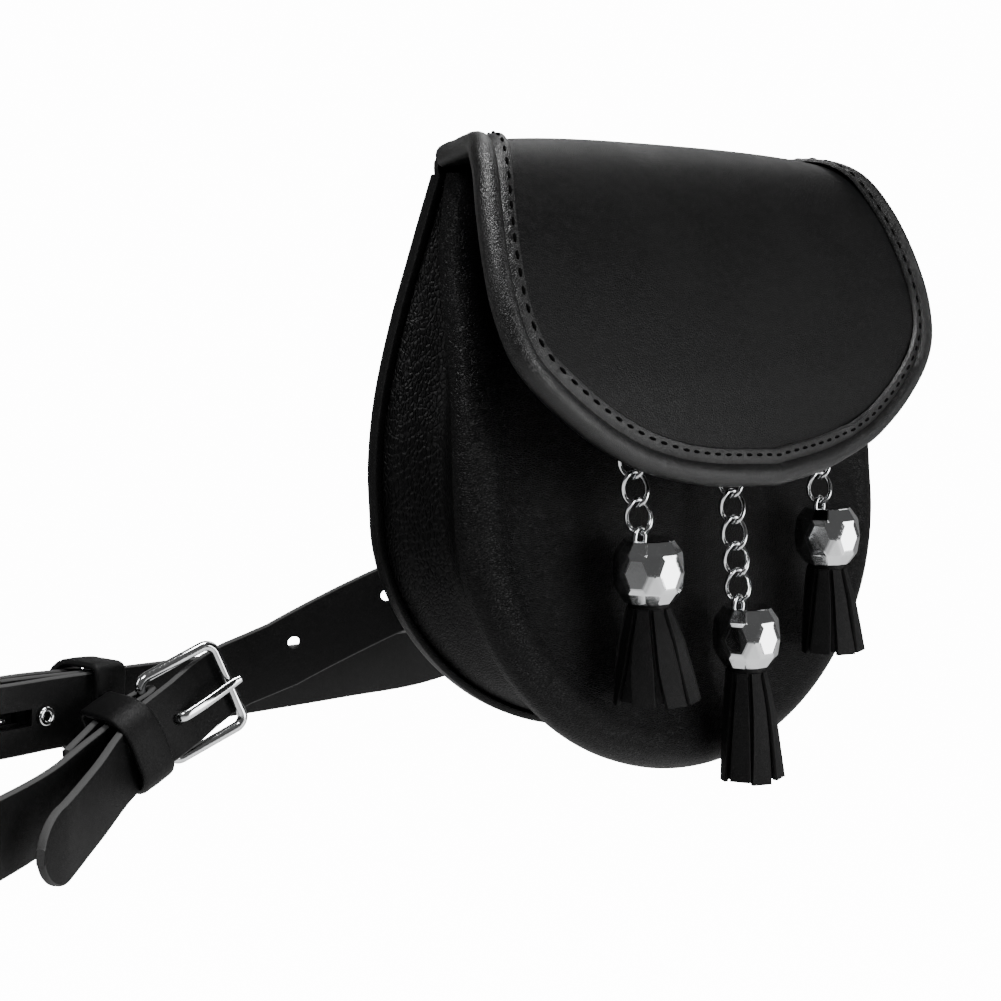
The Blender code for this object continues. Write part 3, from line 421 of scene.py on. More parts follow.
# Angles in degrees over which an edge is rounded, or is left sharp when shaded.
PANEL_EDGE_ANGLE = 55.0
LOOP_EDGE_ANGLE = 60.0
CREASE_ANGLE = 38.0
WIRE_CREASE = 80.0
BLADE_CREASE = 60.0
STRAP_CREASE = 50.0
TASSEL_CREASE = 45.0
FACET_BEVEL = 0.22
FACET_ANGLE = 18.0
FACET_CREASE = 3.0
FACET_INSET = 1.7
FACET_RISE = 0.5
# Fine rows between the rows of a table.
FINE_STEPS = 6
# Where the stitch line of the flap's edging runs: distance in from the edge and height.
STITCH_REACH = -6.9
STITCH_RISE = 1.55
# Points of the edging's line that have no stitch at each end.
SEAM_END = 2
GUSSET_WRINKLE = 0.35
GUSSET_WRINKLE_SIZE = (26.0, 60.0, 9.0)
TASSEL_SEED = 7
STRIP_CURL = 1.1
UNDER_STRIP_INSET = 1.7
# Shares of the stagger by which an outer strip and a strip under it are cut short.
STRIP_CUT = 0.6
UNDER_STRIP_CUT = 0.8
STRIP_SWAY = 0.22
STRIP_FINE_ROWS = 14
# Section of a strip: shares of its half width and of its wall.
STRIP_SECTION = ((1.0, 0.32), (0.94, 0.5), (0.0, 0.56), (-0.94, 0.5), (-1.0, 0.32),
                 (-1.0, -0.32), (-0.94, -0.5), (0.0, -0.44), (0.94, -0.5), (1.0, -0.32))
# Camera: place in metres, its right, up and viewing directions, and its lens in millimetres.
CAMERA_AT = (-0.41667, -0.35283, 0.05852)
CAMERA_RIGHT = (0.6833, -0.7302, 0.0)
CAMERA_UP = (0.0953, 0.0892, 0.9914)
CAMERA_AHEAD = (0.7239, 0.6774, -0.1305)
CAMERA_LENS = 62.94
SENSOR = 36.0
FLOOR_DROP = 0.6
FLOOR_REACH = 4.0
WALL_HEIGHT = 3.2
SWEEP_RADIUS = 0.7
SWEEP_STEPS = 14
# Glow of the paper as the camera sees it and as the object does, and of the room.
PAPER_WHITE = 14.0
PAPER_GLOW = 0.04
ROOM_GLOW = 0.09
# Studio lights: name, place in metres, width, height, power in watts.
LIGHTS = (
    ("key_light", (-0.95, -0.45, 0.95), 0.4, 0.4, 9.0),
    ("front_light", (0.75, -1.75, 0.05), 1.3, 1.3, 34.0),
    ("side_light", (-1.3, 0.75, 0.5), 0.3, 0.8, 4.0),
    ("top_light", (-0.05, -0.1, 1.2), 0.5, 0.4, 21.0),
    ("back_light", (0.9, 0.45, 0.85), 0.8, 0.5, 2.5),
)


def lerp(a, b, t):
    return a + (b - a) * t


def table_value(rows, column, key):
    """Linear reading of a table whose first column falls from row to row."""
    keys = [-row[0] for row in rows]
    return float(np.interp(-key, keys, [row[column] for row in rows]))


def smooth_path(points, steps, closed=False):
    """Points of a Catmull-Rom curve through the given points, steps to a span."""
    pts = [Vector(p) for p in points]
    count = len(pts)
    spans = count if closed else count - 1
    out = []
    for i in range(spans):
        if closed:
            p0, p1, p2, p3 = (pts[(i + j - 1) % count] for j in range(4))
        else:
            p1, p2 = pts[i], pts[i + 1]
            p0 = pts[i - 1] if i else p1 * 2.0 - p2
            p3 = pts[i + 2] if i + 2 < count else p2 * 2.0 - p1
        for k in range(steps):
            t = k / steps
            a = p1 * 2.0
            b = p2 - p0
            c = p0 * 2.0 - p1 * 5.0 + p2 * 4.0 - p3
            d = p1 * 3.0 - p0 - p2 * 3.0 + p3
            out.append((a + b * t + c * t * t + d * t * t * t) * 0.5)
    if not closed:
        out.append(pts[-1])
    return out


class Curve:
    """A polyline read by its length."""

    def __init__(self, points, closed=False):
        self.points = [Vector(p) for p in points]
        self.closed = closed
        if closed:
            self.points.append(self.points[0].copy())
        self.at = [0.0]
        for a, b in zip(self.points, self.points[1:]):
            self.at.append(self.at[-1] + (b - a).length)
        self.length = self.at[-1]

    def point(self, s):
        if self.closed:
            s = s % self.length
        s = min(max(s, 0.0), self.length)
        i = int(np.searchsorted(self.at, s, side="right")) - 1
        i = min(max(i, 0), len(self.points) - 2)
        span = self.at[i + 1] - self.at[i]
        t = (s - self.at[i]) / span if span else 0.0
        return self.points[i].lerp(self.points[i + 1], t)

    def tangent(self, s, reach=1.5):
        if self.closed:
            a, b = self.point(s - reach), self.point(s + reach)
        else:
            a, b = self.point(max(s - reach, 0.0)), self.point(min(s + reach, self.length))
        return (b - a).normalized()


def grid_faces(rows, columns, flip=False, close_columns=False):
    """Four-sided faces of a grid whose points are listed row by row."""
    faces = []
    for i in range(rows - 1):
        for j in range(columns if close_columns else columns - 1):
            k = (j + 1) % columns
            quad = (i * columns + j, (i + 1) * columns + j, (i + 1) * columns + k, i * columns + k)
            faces.append(tuple(reversed(quad)) if flip else quad)
    return faces


def fine(rows, steps=FINE_STEPS):
    """A table with smooth rows between its own; it has two or three number columns."""
    columns = len(rows[0])
    padded = [tuple(row) + (0.0,) * (3 - columns) for row in rows]
    return [tuple(p)[:columns] for p in smooth_path(padded, steps)]


def fine_wide(rows, steps=FINE_STEPS):
    """A table of any width with smooth rows between its own."""
    columns = [smooth_path([(row[i], 0.0, 0.0) for row in rows], steps) for i in range(len(rows[0]))]
    return [tuple(column[i].x for column in columns) for i in range(len(columns[0]))]


FINE_SIDE = fine_wide(BODY_SIDE)
FINE_SPINE = fine(FRONT_SPINE)


class Shape:
    """Points and faces of one piece in millimetres, gathered before its mesh is made."""

    def __init__(self):
        self.verts = []
        self.faces = []
        self.marks = []

    def loft(self, rings, closed=False, marks=None):
        """Adds a body through rings of points, with flat ends unless it is closed."""
        count = len(rings[0])
        base = len(self.verts)
        self.verts += [tuple(v) for ring in rings for v in ring]
        self.marks += list(marks * len(rings)) if marks else [0.0] * (len(rings) * count)
        faces = grid_faces(len(rings), count, close_columns=True)
        last = (len(rings) - 1) * count
        if closed:
            faces += [(last + j, j, (j + 1) % count, last + (j + 1) % count) for j in range(count)]
        else:
            faces.append(tuple(range(count)))
            faces.append(tuple(last + j for j in reversed(range(count))))
        self.faces += [tuple(base + i for i in face) for face in faces]

    def make(self, name, mat, attribute=None):
        obj = make_object(name, self.verts, self.faces, mat)
        if attribute:
            layer = obj.data.attributes.new(attribute, "FLOAT", "POINT")
            layer.data.foreach_set("value", self.marks)
        fix_normals(obj)
        return obj


def make_object(name, verts, faces, mat):
    """A mesh object from points in millimetres."""
    mesh = bpy.data.meshes.new(name)
    mesh.from_pydata([tuple(c * MM for c in v) for v in verts], [], faces)
    mesh.update()
    mesh.materials.append(mat)
    obj = bpy.data.objects.new(name, mesh)
    bpy.context.scene.collection.objects.link(obj)
    return obj


def add_modifier(obj, kind, name, **settings):
    mod = obj.modifiers.new(name, kind)
    for key, value in settings.items():
        setattr(mod, key, value)
    return mod


def add_wall(obj, wall, offset=-1.0):
    """Mirrors half a sheet across the middle of the pouch and gives it its wall."""
    add_modifier(obj, "MIRROR", "Mirror", use_axis=(True, False, False), use_clip=True,
                 merge_threshold=MERGE_DISTANCE)
    add_modifier(obj, "SOLIDIFY", "Wall", thickness=wall * MM, offset=offset, use_even_offset=True)


def fix_normals(obj):
    """Turns every face outward."""
    bm = bmesh.new()
    bm.from_mesh(obj.data)
    bmesh.ops.recalc_face_normals(bm, faces=bm.faces)
    bm.to_mesh(obj.data)
    bm.free()


def bake(obj):
    """Replace an object's mesh by the result of its modifiers."""
    bpy.context.view_layer.update()
    graph = bpy.context.evaluated_depsgraph_get()
    mesh = bpy.data.meshes.new_from_object(obj.evaluated_get(graph))
    obj.modifiers.clear()
    obj.data = mesh


def finish_piece(obj, nodes, crease=CREASE_ANGLE):
    """Smooths a finished piece, lets it stand for its CAD nodes and rides it on the body."""
    if crease:
        crease_edges(obj, crease)
    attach(obj, "root")
    if nodes:
        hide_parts(*nodes)


def crease_edges(obj, angle):
    """Smooth shading, with edges sharp where they turn by more than an angle."""
    obj.data.shade_smooth()
    obj.data.set_sharp_from_angle(angle=math.radians(angle))


def round_edges(obj, width, angle, segments=2):
    """Rounds the edges that turn by more than an angle; width in millimetres."""
    add_modifier(obj, "BEVEL", "Edges", width=width * MM, segments=segments, limit_method="ANGLE",
                 angle_limit=math.radians(angle), harden_normals=False)


def half_outline(side):
    """Left half of a body outline from its top corner down to its lowest point.

    side is the column of BODY_SIDE; returns points (x, z) and inward directions.
    """
    rows = BODY_SIDE
    path = smooth_path([(row[side], row[0], 0.0) for row in rows], PATH_STEPS)
    curve = Curve(path)
    pts = [curve.point(curve.length * i / SIDE_STEPS) for i in range(SIDE_STEPS + 1)]
    pts = [(-p.x, p.y) for p in pts]
    half, mid = rows[-1][side], rows[-1][0]
    bottom = BODY_BACK_BOTTOM if side == 1 else BODY_FRONT_BOTTOM
    power = 2.0 / (BACK_ROUNDNESS if side == 1 else FRONT_ROUNDNESS)
    for i in range(1, ARC_STEPS + 1):
        angle = math.radians(90.0 * i / ARC_STEPS)
        x = half * max(math.cos(angle), 0.0) ** power
        z = mid - (mid - bottom) * math.sin(angle) ** power
        pts.append((0.0 if i == ARC_STEPS else -x, z))
    inward = []
    for i, p in enumerate(pts):
        if i == 0:
            inward.append((1.0, 0.0))
        elif i == len(pts) - 1:
            inward.append((0.0, 1.0))
        else:
            dx = pts[i + 1][0] - pts[i - 1][0]
            dz = pts[i + 1][1] - pts[i - 1][1]
            size = math.hypot(dx, dz)
            inward.append((-dz / size, dx / size))
    return pts, inward


def ridge_forward(z):
    """How far forward the back edge of the front panel stands at a height."""
    if z >= BODY_SIDE[-1][0]:
        return table_value(FINE_SIDE, 3, z)
    drop = (BODY_SIDE[-1][0] - z) / (BODY_SIDE[-1][0] - BODY_FRONT_BOTTOM)
    return lerp(BODY_SIDE[-1][3], RIDGE_BOTTOM, min(drop, 1.0))


def spine_heights(outline, end):
    """Heights on the middle line that the outline's points run in to."""
    top = outline[0][1]
    last = len(outline) - 1
    return [lerp(top, end, (i / last) ** SPINE_CROWDING) for i in range(last + 1)]


def panel_shell(name, outline, inward, roll, edge_y, spine_z, spine_y, face_steps, outward_back, mat):
    """Rolled-edge panel: half a grid from the outline in to the middle line, mirrored."""
    verts = []
    for i, (p, n) in enumerate(zip(outline, inward)):
        for inset, depth in roll:
            x = p[0] + n[0] * inset if i < len(outline) - 1 else 0.0
            verts.append((x, edge_y[i] + depth, p[1] + n[1] * inset))
        start = Vector(verts[-1])
        end = Vector((0.0, spine_y(spine_z[i]), spine_z[i]))
        for k in range(1, face_steps + 1):
            t = k / face_steps
            v = start.lerp(end, t)
            v.y = lerp(start.y, end.y, 1.0 - (1.0 - t) ** 2)
            verts.append(tuple(v))
    columns = len(roll) + face_steps
    obj = make_object(name, verts, grid_faces(len(outline), columns, flip=outward_back), mat)
    add_wall(obj, PANEL_WALL)
    return obj


def flap_maps():
    """The flap's profile by length, its edge as (x, length) and its outer face."""
    profile = Curve(smooth_path([(0.0, row[0], row[1]) for row in FLAP_ROWS], PATH_STEPS))
    at = [profile.at[i * PATH_STEPS] for i in range(len(FLAP_ROWS))]
    edge = Curve(smooth_path([(-row[2], s, 0.0) for row, s in zip(FLAP_ROWS, at)], PATH_STEPS))
    full = at[FLAP_BULGE_FULL]

    def face(x, s):
        p = profile.point(s)
        t = profile.tangent(s)
        normal = Vector((0.0, t.z, -t.y))
        side = min(abs(x) / max(float(np.interp(s, at, [row[2] for row in FLAP_ROWS])), FLAP_SIDE_MIN), 1.0)
        rise = min(max(2.0 * s / full - 1.0, 0.0), 1.0)
        drop = float(np.interp(s, at, [row[3] for row in FLAP_ROWS])) * side ** 4
        return Vector((x, p.y, p.z - drop)) + normal * (FLAP_BULGE * rise * (1.0 - side * side))

    return profile, edge, at, face


def tube_rings(path, radius, sides, closed=False):
    """Rings of a round wire along a path, turned as little as possible."""
    pts = [Vector(p) for p in path]
    count = len(pts)
    tangents = []
    for i in range(count):
        if closed:
            t = pts[(i + 1) % count] - pts[i - 1]
        else:
            t = pts[min(i + 1, count - 1)] - pts[max(i - 1, 0)]
        tangents.append(t.normalized())
    guide = Vector((0.0, 0.0, 1.0))
    if abs(guide.dot(tangents[0])) > 0.8:
        guide = Vector((0.0, 1.0, 0.0))
    u = (guide - tangents[0] * tangents[0].dot(guide)).normalized()
    frames = []
    for t in tangents:
        u = (u - t * t.dot(u)).normalized()
        frames.append((u.copy(), t.cross(u)))
    twist = 0.0
    if closed:
        u0, v0 = frames[0]
        u_end = (u - tangents[0] * tangents[0].dot(u)).normalized()
        twist = math.atan2(u_end.dot(v0), u_end.dot(u0))
    rings = []
    for i, (p, (a, b)) in enumerate(zip(pts, frames)):
        turn = -twist * i / count
        ring = []
        for k in range(sides):
            angle = 2.0 * math.pi * k / sides + turn
            ring.append(p + (a * math.cos(angle) + b * math.sin(angle)) * radius)
        rings.append(ring)
    return rings


class HangLine:
    """The leaning line that a drop's links hang along, from the bead's eye up."""

    def __init__(self, eye, lean_x, lean_y, reach):
        self.eye = Vector(eye)
        rise = math.sqrt(reach * reach - lean_x * lean_x - lean_y * lean_y)
        self.along = Vector((lean_x, lean_y, rise)) / reach
        facing = Vector((math.cos(math.radians(LINK_FACING)), math.sin(math.radians(LINK_FACING)), 0.0))
        self.across = (facing - self.along * self.along.dot(facing)).normalized()
        self.depth = self.along.cross(self.across)

    def at(self, distance):
        return self.eye + self.along * distance


def link_path(line, distance):
    """Twisted oval of one curb link centred on the hanging line."""
    height = LINK_PITCH + LINK_WIRE + WIRE_GAP
    centre = line.at(distance)
    path = []
    for k in range(LINK_STEPS):
        angle = 2.0 * math.pi * (k + 0.5) / LINK_STEPS
        across = LINK_WIDTH / 2.0 * math.copysign(abs(math.cos(angle)) ** LINK_SQUARENESS, math.cos(angle))
        up = math.sin(angle)
        turn = math.radians(LINK_TWIST) * up
        rise = height / 2.0 * math.copysign(abs(up) ** LINK_SQUARENESS, up)
        path.append(centre + line.across * (across * math.cos(turn)) + line.depth * (across * math.sin(turn))
                    + line.along * rise)
    return path


def front_face_y(z):
    """Place of the front panel's face on the middle line at a height."""
    return -table_value(FINE_SPINE, 1, z)


def arch_path(centre, reach, rise, turn, legs):
    """A standing wire arch with straight legs below it."""
    across = Vector((math.cos(turn), math.sin(turn), 0.0))
    base = Vector(centre)
    path = [base - across * reach - Vector((0.0, 0.0, legs))]
    for k in range(EYE_STEPS + 1):
        angle = math.pi * (1.0 - k / EYE_STEPS)
        path.append(base + across * (reach * math.cos(angle)) + Vector((0.0, 0.0, rise * math.sin(angle))))
    path.append(base + across * reach - Vector((0.0, 0.0, legs)))
    return path


def bead_solid(name, centre, mat):
    """Faceted bead: a hexagon on each side, triangles at the corners between them."""
    x, y, z = centre
    half = BEAD_HEIGHT / 2.0
    step = 2.0 * math.pi / BEAD_SIDES
    side_turn = math.radians(BEAD_TURN)
    spread = step * BEAD_FACET_SHARE
    shoulder = BEAD_RADIUS * math.cos(step / 2.0) / math.cos(spread)
    verts = []
    shoulder_level = half * BEAD_SHOULDER
    levels = ((half, BEAD_END_RADIUS), (shoulder_level, shoulder), (-shoulder_level, shoulder),
              (-half, BEAD_END_RADIUS))
    for level, radius in levels:
        for k in range(2 * BEAD_SIDES):
            angle = side_turn + step * (k // 2) + (spread if k % 2 else -spread)
            verts.append((x + radius * math.cos(angle), y + radius * math.sin(angle), z + level))
    for k in range(BEAD_SIDES):
        angle = side_turn + step * (k + 0.5)
        verts.append((x + BEAD_RADIUS * math.cos(angle), y + BEAD_RADIUS * math.sin(angle), z))
    ring = 2 * BEAD_SIDES
    top, up, low, end, belt = 0, ring, 2 * ring, 3 * ring, 4 * ring
    faces = [tuple(range(ring)), tuple(end + k for k in reversed(range(ring)))]
    for k in range(BEAD_SIDES):
        a, b, c = 2 * k, 2 * k + 1, (2 * k + 2) % ring
        corner, before = belt + k, belt + (k - 1) % BEAD_SIDES
        faces.append((up + a, up + b, corner, low + b, low + a, before))
        faces.append((up + b, up + c, corner))
        faces.append((low + b, corner, low + c))
        faces.append((top + a, top + b, up + b, up + a))
        faces.append((top + b, top + c, up + c, up + b))
        faces.append((low + a, low + b, end + b, end + a))
        faces.append((low + b, low + c, end + c, end + b))
    obj = make_object(name, verts, faces, mat)
    fix_normals(obj)
    return obj


def anchor_wall(x, z):
    """Foremost point of the front panel near an anchor's plate."""
    low = z - ANCHOR_PLATE
    half = table_value(BODY_SIDE, 2, z) - FRONT_ROLL[-1][0]
    rim = -ridge_forward(low) + FRONT_ROLL[-1][1]
    t = 1.0 - min(max(abs(x) - ANCHOR_PLATE, 0.0) / half, 1.0)
    return lerp(rim, front_face_y(low), 1.0 - (1.0 - t) ** 2)


class StrapRoute:
    """The strap's closed middle line with its directions."""

    def __init__(self):
        self.curve = Curve(smooth_path(STRAP_ROUTE, ROUTE_STEPS, closed=True), closed=True)
        self.length = self.curve.length

    def frame(self, s):
        along = self.curve.tangent(s, ROUTE_REACH)
        flat = Vector((along.x, along.y, 0.0)).normalized()
        out = Vector((-flat.y, flat.x, 0.0))
        up = along.cross(out)
        if up.z < 0:
            up = -up
        return along, out, up

    def place(self, s, lift):
        return self.curve.point(s) + self.frame(s)[1] * lift

    def straight_offset(self, bar, ahead):
        """From the route at bar - ahead to the straight line through the bar: lift and rise."""
        along = self.frame(bar)[0]
        _, out, up = self.frame(bar - ahead)
        away = self.curve.point(bar) - along * ahead - self.curve.point(bar - ahead)
        return away.dot(out), away.dot(up)

    def nearest(self, target):
        """Length along the strap at the point nearest to a place seen from above."""
        goal = Vector(target)
        return float(min(range(int(self.length)), key=lambda s: (self.curve.point(s).xy - goal).length))


def strap_stations(route, tail_bar, fold_bar):
    """Stations of one strap, from the tip of its tail to the end of its fold.

    The tail passes the buckle whose bar is at tail_bar; the strap then runs down the
    route to fold_bar, where it folds round the other buckle's bar.
    """
    half = STRAP_WIDTH / 2.0
    tip = half * TAIL_TIP_SHARE
    stations = []
    for k in range(TAIL_TIP_STEPS + 1):
        turn = math.radians(90.0 * k / TAIL_TIP_STEPS)
        ahead = tip * (1.0 - math.cos(turn)) - TAIL_LENGTH
        width = half * max(math.sin(turn), TAIL_POINT_SHARE)
        stations.append((tail_bar - ahead, TAIL_END_LIFT, -TAIL_SAG, width))
    for k in range(1, TAIL_SPANS):
        share = k / TAIL_SPANS
        ahead = lerp(tip - TAIL_LENGTH, TAIL_ROWS[0][0], share)
        lift = lerp(TAIL_END_LIFT, TAIL_ROWS[0][1], share)
        stations.append((tail_bar - ahead, lift, -TAIL_SAG * (1.0 - share) ** 2, half))
    for ahead, lift, straight in TAIL_ROWS:
        off_lift, off_rise = route.straight_offset(tail_bar, ahead)
        stations.append((tail_bar - ahead, lift + off_lift * straight, off_rise * straight, half))
    start = tail_bar - TAIL_ROWS[-1][0]
    stop = fold_bar + FOLD_START
    count = max(3, int((start - stop) / STATION_SPACING))
    stations += [(lerp(start, stop, k / count), 0.0, 0.0, half) for k in range(1, count + 1)]
    stations += [(fold_bar + back, lift, 0.0, half) for back, lift in FOLD_OUTER_ROWS]
    for k in range(FOLD_STEPS + 1):
        angle = math.pi * (0.5 - k / FOLD_STEPS)
        stations.append((fold_bar - FOLD_RADIUS * math.cos(angle), FOLD_RADIUS * math.sin(angle), 0.0, half))
    stations += [(fold_bar + back, lift, 0.0, half) for back, lift in FOLD_INNER_ROWS]
    return stations


def wire_circle_nodes(nodes, links, group_in):
    """Nodes that turn a curve into a round wire, for the trees below."""
    circle = nodes.new("GeometryNodeCurvePrimitiveCircle")
    sweep = nodes.new("GeometryNodeCurveToMesh")
    sweep.inputs["Fill Caps"].default_value = True
    links.new(group_in.outputs["Wire radius"], circle.inputs["Radius"])
    links.new(group_in.outputs["Wire sides"], circle.inputs["Resolution"])
    links.new(circle.outputs["Curve"], sweep.inputs["Profile Curve"])
    return sweep


def new_tree(name, sockets):
    """An empty geometry tree with a geometry input and output and the named inputs."""
    tree = bpy.data.node_groups.new(name, "GeometryNodeTree")
    tree.interface.new_socket("Geometry", in_out="INPUT", socket_type="NodeSocketGeometry")
    for label, kind, value in sockets:
        socket = tree.interface.new_socket(label, in_out="INPUT", socket_type=kind)
        if value is not None:
            socket.default_value = value
    tree.interface.new_socket("Geometry", in_out="OUTPUT", socket_type="NodeSocketGeometry")
    return tree, tree.nodes.new("NodeGroupInput"), tree.nodes.new("NodeGroupOutput")


def end_tree(tree, group_in, group_out, socket):
    """Realize Instances, smooth faces and Set Material at the end of a tree."""
    nodes, links = tree.nodes, tree.links
    real = nodes.new("GeometryNodeRealizeInstances")
    smooth = nodes.new("GeometryNodeSetShadeSmooth")
    paint = nodes.new("GeometryNodeSetMaterial")
    links.new(socket, real.inputs["Geometry"])
    links.new(real.outputs["Geometry"], smooth.inputs["Geometry"])
    links.new(smooth.outputs["Geometry"], paint.inputs["Geometry"])
    links.new(group_in.outputs["Material"], paint.inputs["Material"])
    links.new(paint.outputs["Geometry"], group_out.inputs["Geometry"])


WIRE_SOCKETS = (
    ("Wire radius", "NodeSocketFloat", 0.0007),
    ("Wire sides", "NodeSocketInt", 12),
    ("Material", "NodeSocketMaterial", None),
)


def chain_tree():
    """Links on points: the link's path comes from a curve object."""
    if "chain_run" in bpy.data.node_groups:
        return bpy.data.node_groups["chain_run"]
    sockets = (("Link path", "NodeSocketObject", None),) + WIRE_SOCKETS
    tree, group_in, group_out = new_tree("chain_run", sockets)
    nodes, links = tree.nodes, tree.links
    source = nodes.new("GeometryNodeObjectInfo")
    sweep = wire_circle_nodes(nodes, links, group_in)
    place = nodes.new("GeometryNodeInstanceOnPoints")
    links.new(group_in.outputs["Link path"], source.inputs["Object"])
    links.new(source.outputs["Geometry"], sweep.inputs["Curve"])
    links.new(group_in.outputs["Geometry"], place.inputs["Points"])
    links.new(sweep.outputs["Mesh"], place.inputs["Instance"])
    end_tree(tree, group_in, group_out, place.outputs["Instances"])
    return tree


def wire_tree():
    """A round wire along the curve that carries the modifier."""
    if "wire_run" in bpy.data.node_groups:
        return bpy.data.node_groups["wire_run"]
    tree, group_in, group_out = new_tree("wire_run", WIRE_SOCKETS)
    sweep = wire_circle_nodes(tree.nodes, tree.links, group_in)
    tree.links.new(group_in.outputs["Geometry"], sweep.inputs["Curve"])
    end_tree(tree, group_in, group_out, sweep.outputs["Mesh"])
    return tree


def stitch_tree():
    """Stitches at an even pitch along a curve, each a flat bead of thread."""
    if "stitch_run" in bpy.data.node_groups:
        return bpy.data.node_groups["stitch_run"]
    tree, group_in, group_out = new_tree("stitch_run", (
        ("Pitch", "NodeSocketFloat", 0.0046),
        ("Stitch length", "NodeSocketFloat", 0.0029),
        ("Thread width", "NodeSocketFloat", 0.0009),
        ("Material", "NodeSocketMaterial", None),
    ))
    nodes, links = tree.nodes, tree.links
    resample = nodes.new("GeometryNodeResampleCurve")
    resample.mode = "LENGTH"
    ball = nodes.new("GeometryNodeMeshUVSphere")
    ball.inputs["Segments"].default_value = 8
    ball.inputs["Rings"].default_value = 6
    ball.inputs["Radius"].default_value = 0.5
    tangent = nodes.new("GeometryNodeInputTangent")
    turn = nodes.new("FunctionNodeAlignRotationToVector")
    turn.axis = "X"
    size = nodes.new("ShaderNodeCombineXYZ")
    place = nodes.new("GeometryNodeInstanceOnPoints")
    links.new(group_in.outputs["Geometry"], resample.inputs["Curve"])
    links.new(group_in.outputs["Pitch"], resample.inputs["Length"])
    links.new(group_in.outputs["Stitch length"], size.inputs["X"])
    links.new(group_in.outputs["Thread width"], size.inputs["Y"])
    links.new(group_in.outputs["Thread width"], size.inputs["Z"])
    links.new(tangent.outputs["Tangent"], turn.inputs["Vector"])
    links.new(resample.outputs["Curve"], place.inputs["Points"])
    links.new(ball.outputs["Mesh"], place.inputs["Instance"])
    links.new(turn.outputs["Rotation"], place.inputs["Rotation"])
    links.new(size.outputs["Vector"], place.inputs["Scale"])
    end_tree(tree, group_in, group_out, place.outputs["Instances"])
    return tree


def curve_object(name, points, closed):
    """A poly curve from points in millimetres."""
    data = bpy.data.curves.new(name, "CURVE")
    data.dimensions = "3D"
    spline = data.splines.new("POLY")
    spline.points.add(len(points) - 1)
    for place, p in zip(spline.points, points):
        place.co = (p[0] * MM, p[1] * MM, p[2] * MM, 1.0)
    spline.use_cyclic_u = closed
    obj = bpy.data.objects.new(name, data)
    bpy.context.scene.collection.objects.link(obj)
    return obj


def point_object(name, points):
    """A mesh of loose points in millimetres, for a tree to place things on."""
    return make_object(name, points, [], bpy.data.materials["chrome"])


def run_tree(source, name, tree, values):
    """The plain mesh object that a geometry tree makes on a source object, which is removed."""
    mod = source.modifiers.new("Nodes", "NODES")
    mod.node_group = tree
    for item in tree.interface.items_tree:
        if item.item_type == "SOCKET" and item.in_out == "INPUT" and item.name in values:
            mod[item.identifier] = values[item.name]
    bpy.context.view_layer.update()
    graph = bpy.context.evaluated_depsgraph_get()
    mesh = bpy.data.meshes.new_from_object(source.evaluated_get(graph))
    mesh.name = name
    obj = bpy.data.objects.new(name, mesh)
    bpy.context.scene.collection.objects.link(obj)
    bpy.data.objects.remove(source, do_unlink=True)
    return obj


def wire_piece(name, path, radius, sides, mat, closed=True):
    """A round wire along a path in millimetres."""
    source = curve_object(name + "_path", path, closed)
    values = {"Wire radius": radius * MM, "Wire sides": sides, "Material": mat}
    return run_tree(source, name, wire_tree(), values)


def join_pieces(target, others):
    """Puts other meshes into the target's own mesh."""
    bm = bmesh.new()
    for obj in [target] + others:
        bm.from_mesh(obj.data)
    bm.to_mesh(target.data)
    bm.free()
    for obj in others:
        bpy.data.objects.remove(obj, do_unlink=True)
    return target


class NodeSheet:
    """Short calls for building a shader tree."""

    def __init__(self, tree):
        self.tree = tree

    def add(self, kind, inputs=None, **settings):
        node = self.tree.nodes.new(kind)
        for key, value in settings.items():
            setattr(node, key, value)
        for key, value in (inputs or {}).items():
            if isinstance(value, bpy.types.NodeSocket):
                self.tree.links.new(value, node.inputs[key])
            else:
                node.inputs[key].default_value = value
        return node

    def math(self, operation, a, b=0.0):
        node = self.add("ShaderNodeMath", operation=operation)
        for i, value in enumerate((a, b)):
            if isinstance(value, bpy.types.NodeSocket):
                self.tree.links.new(value, node.inputs[i])
            else:
                node.inputs[i].default_value = value
        return node.outputs[0]


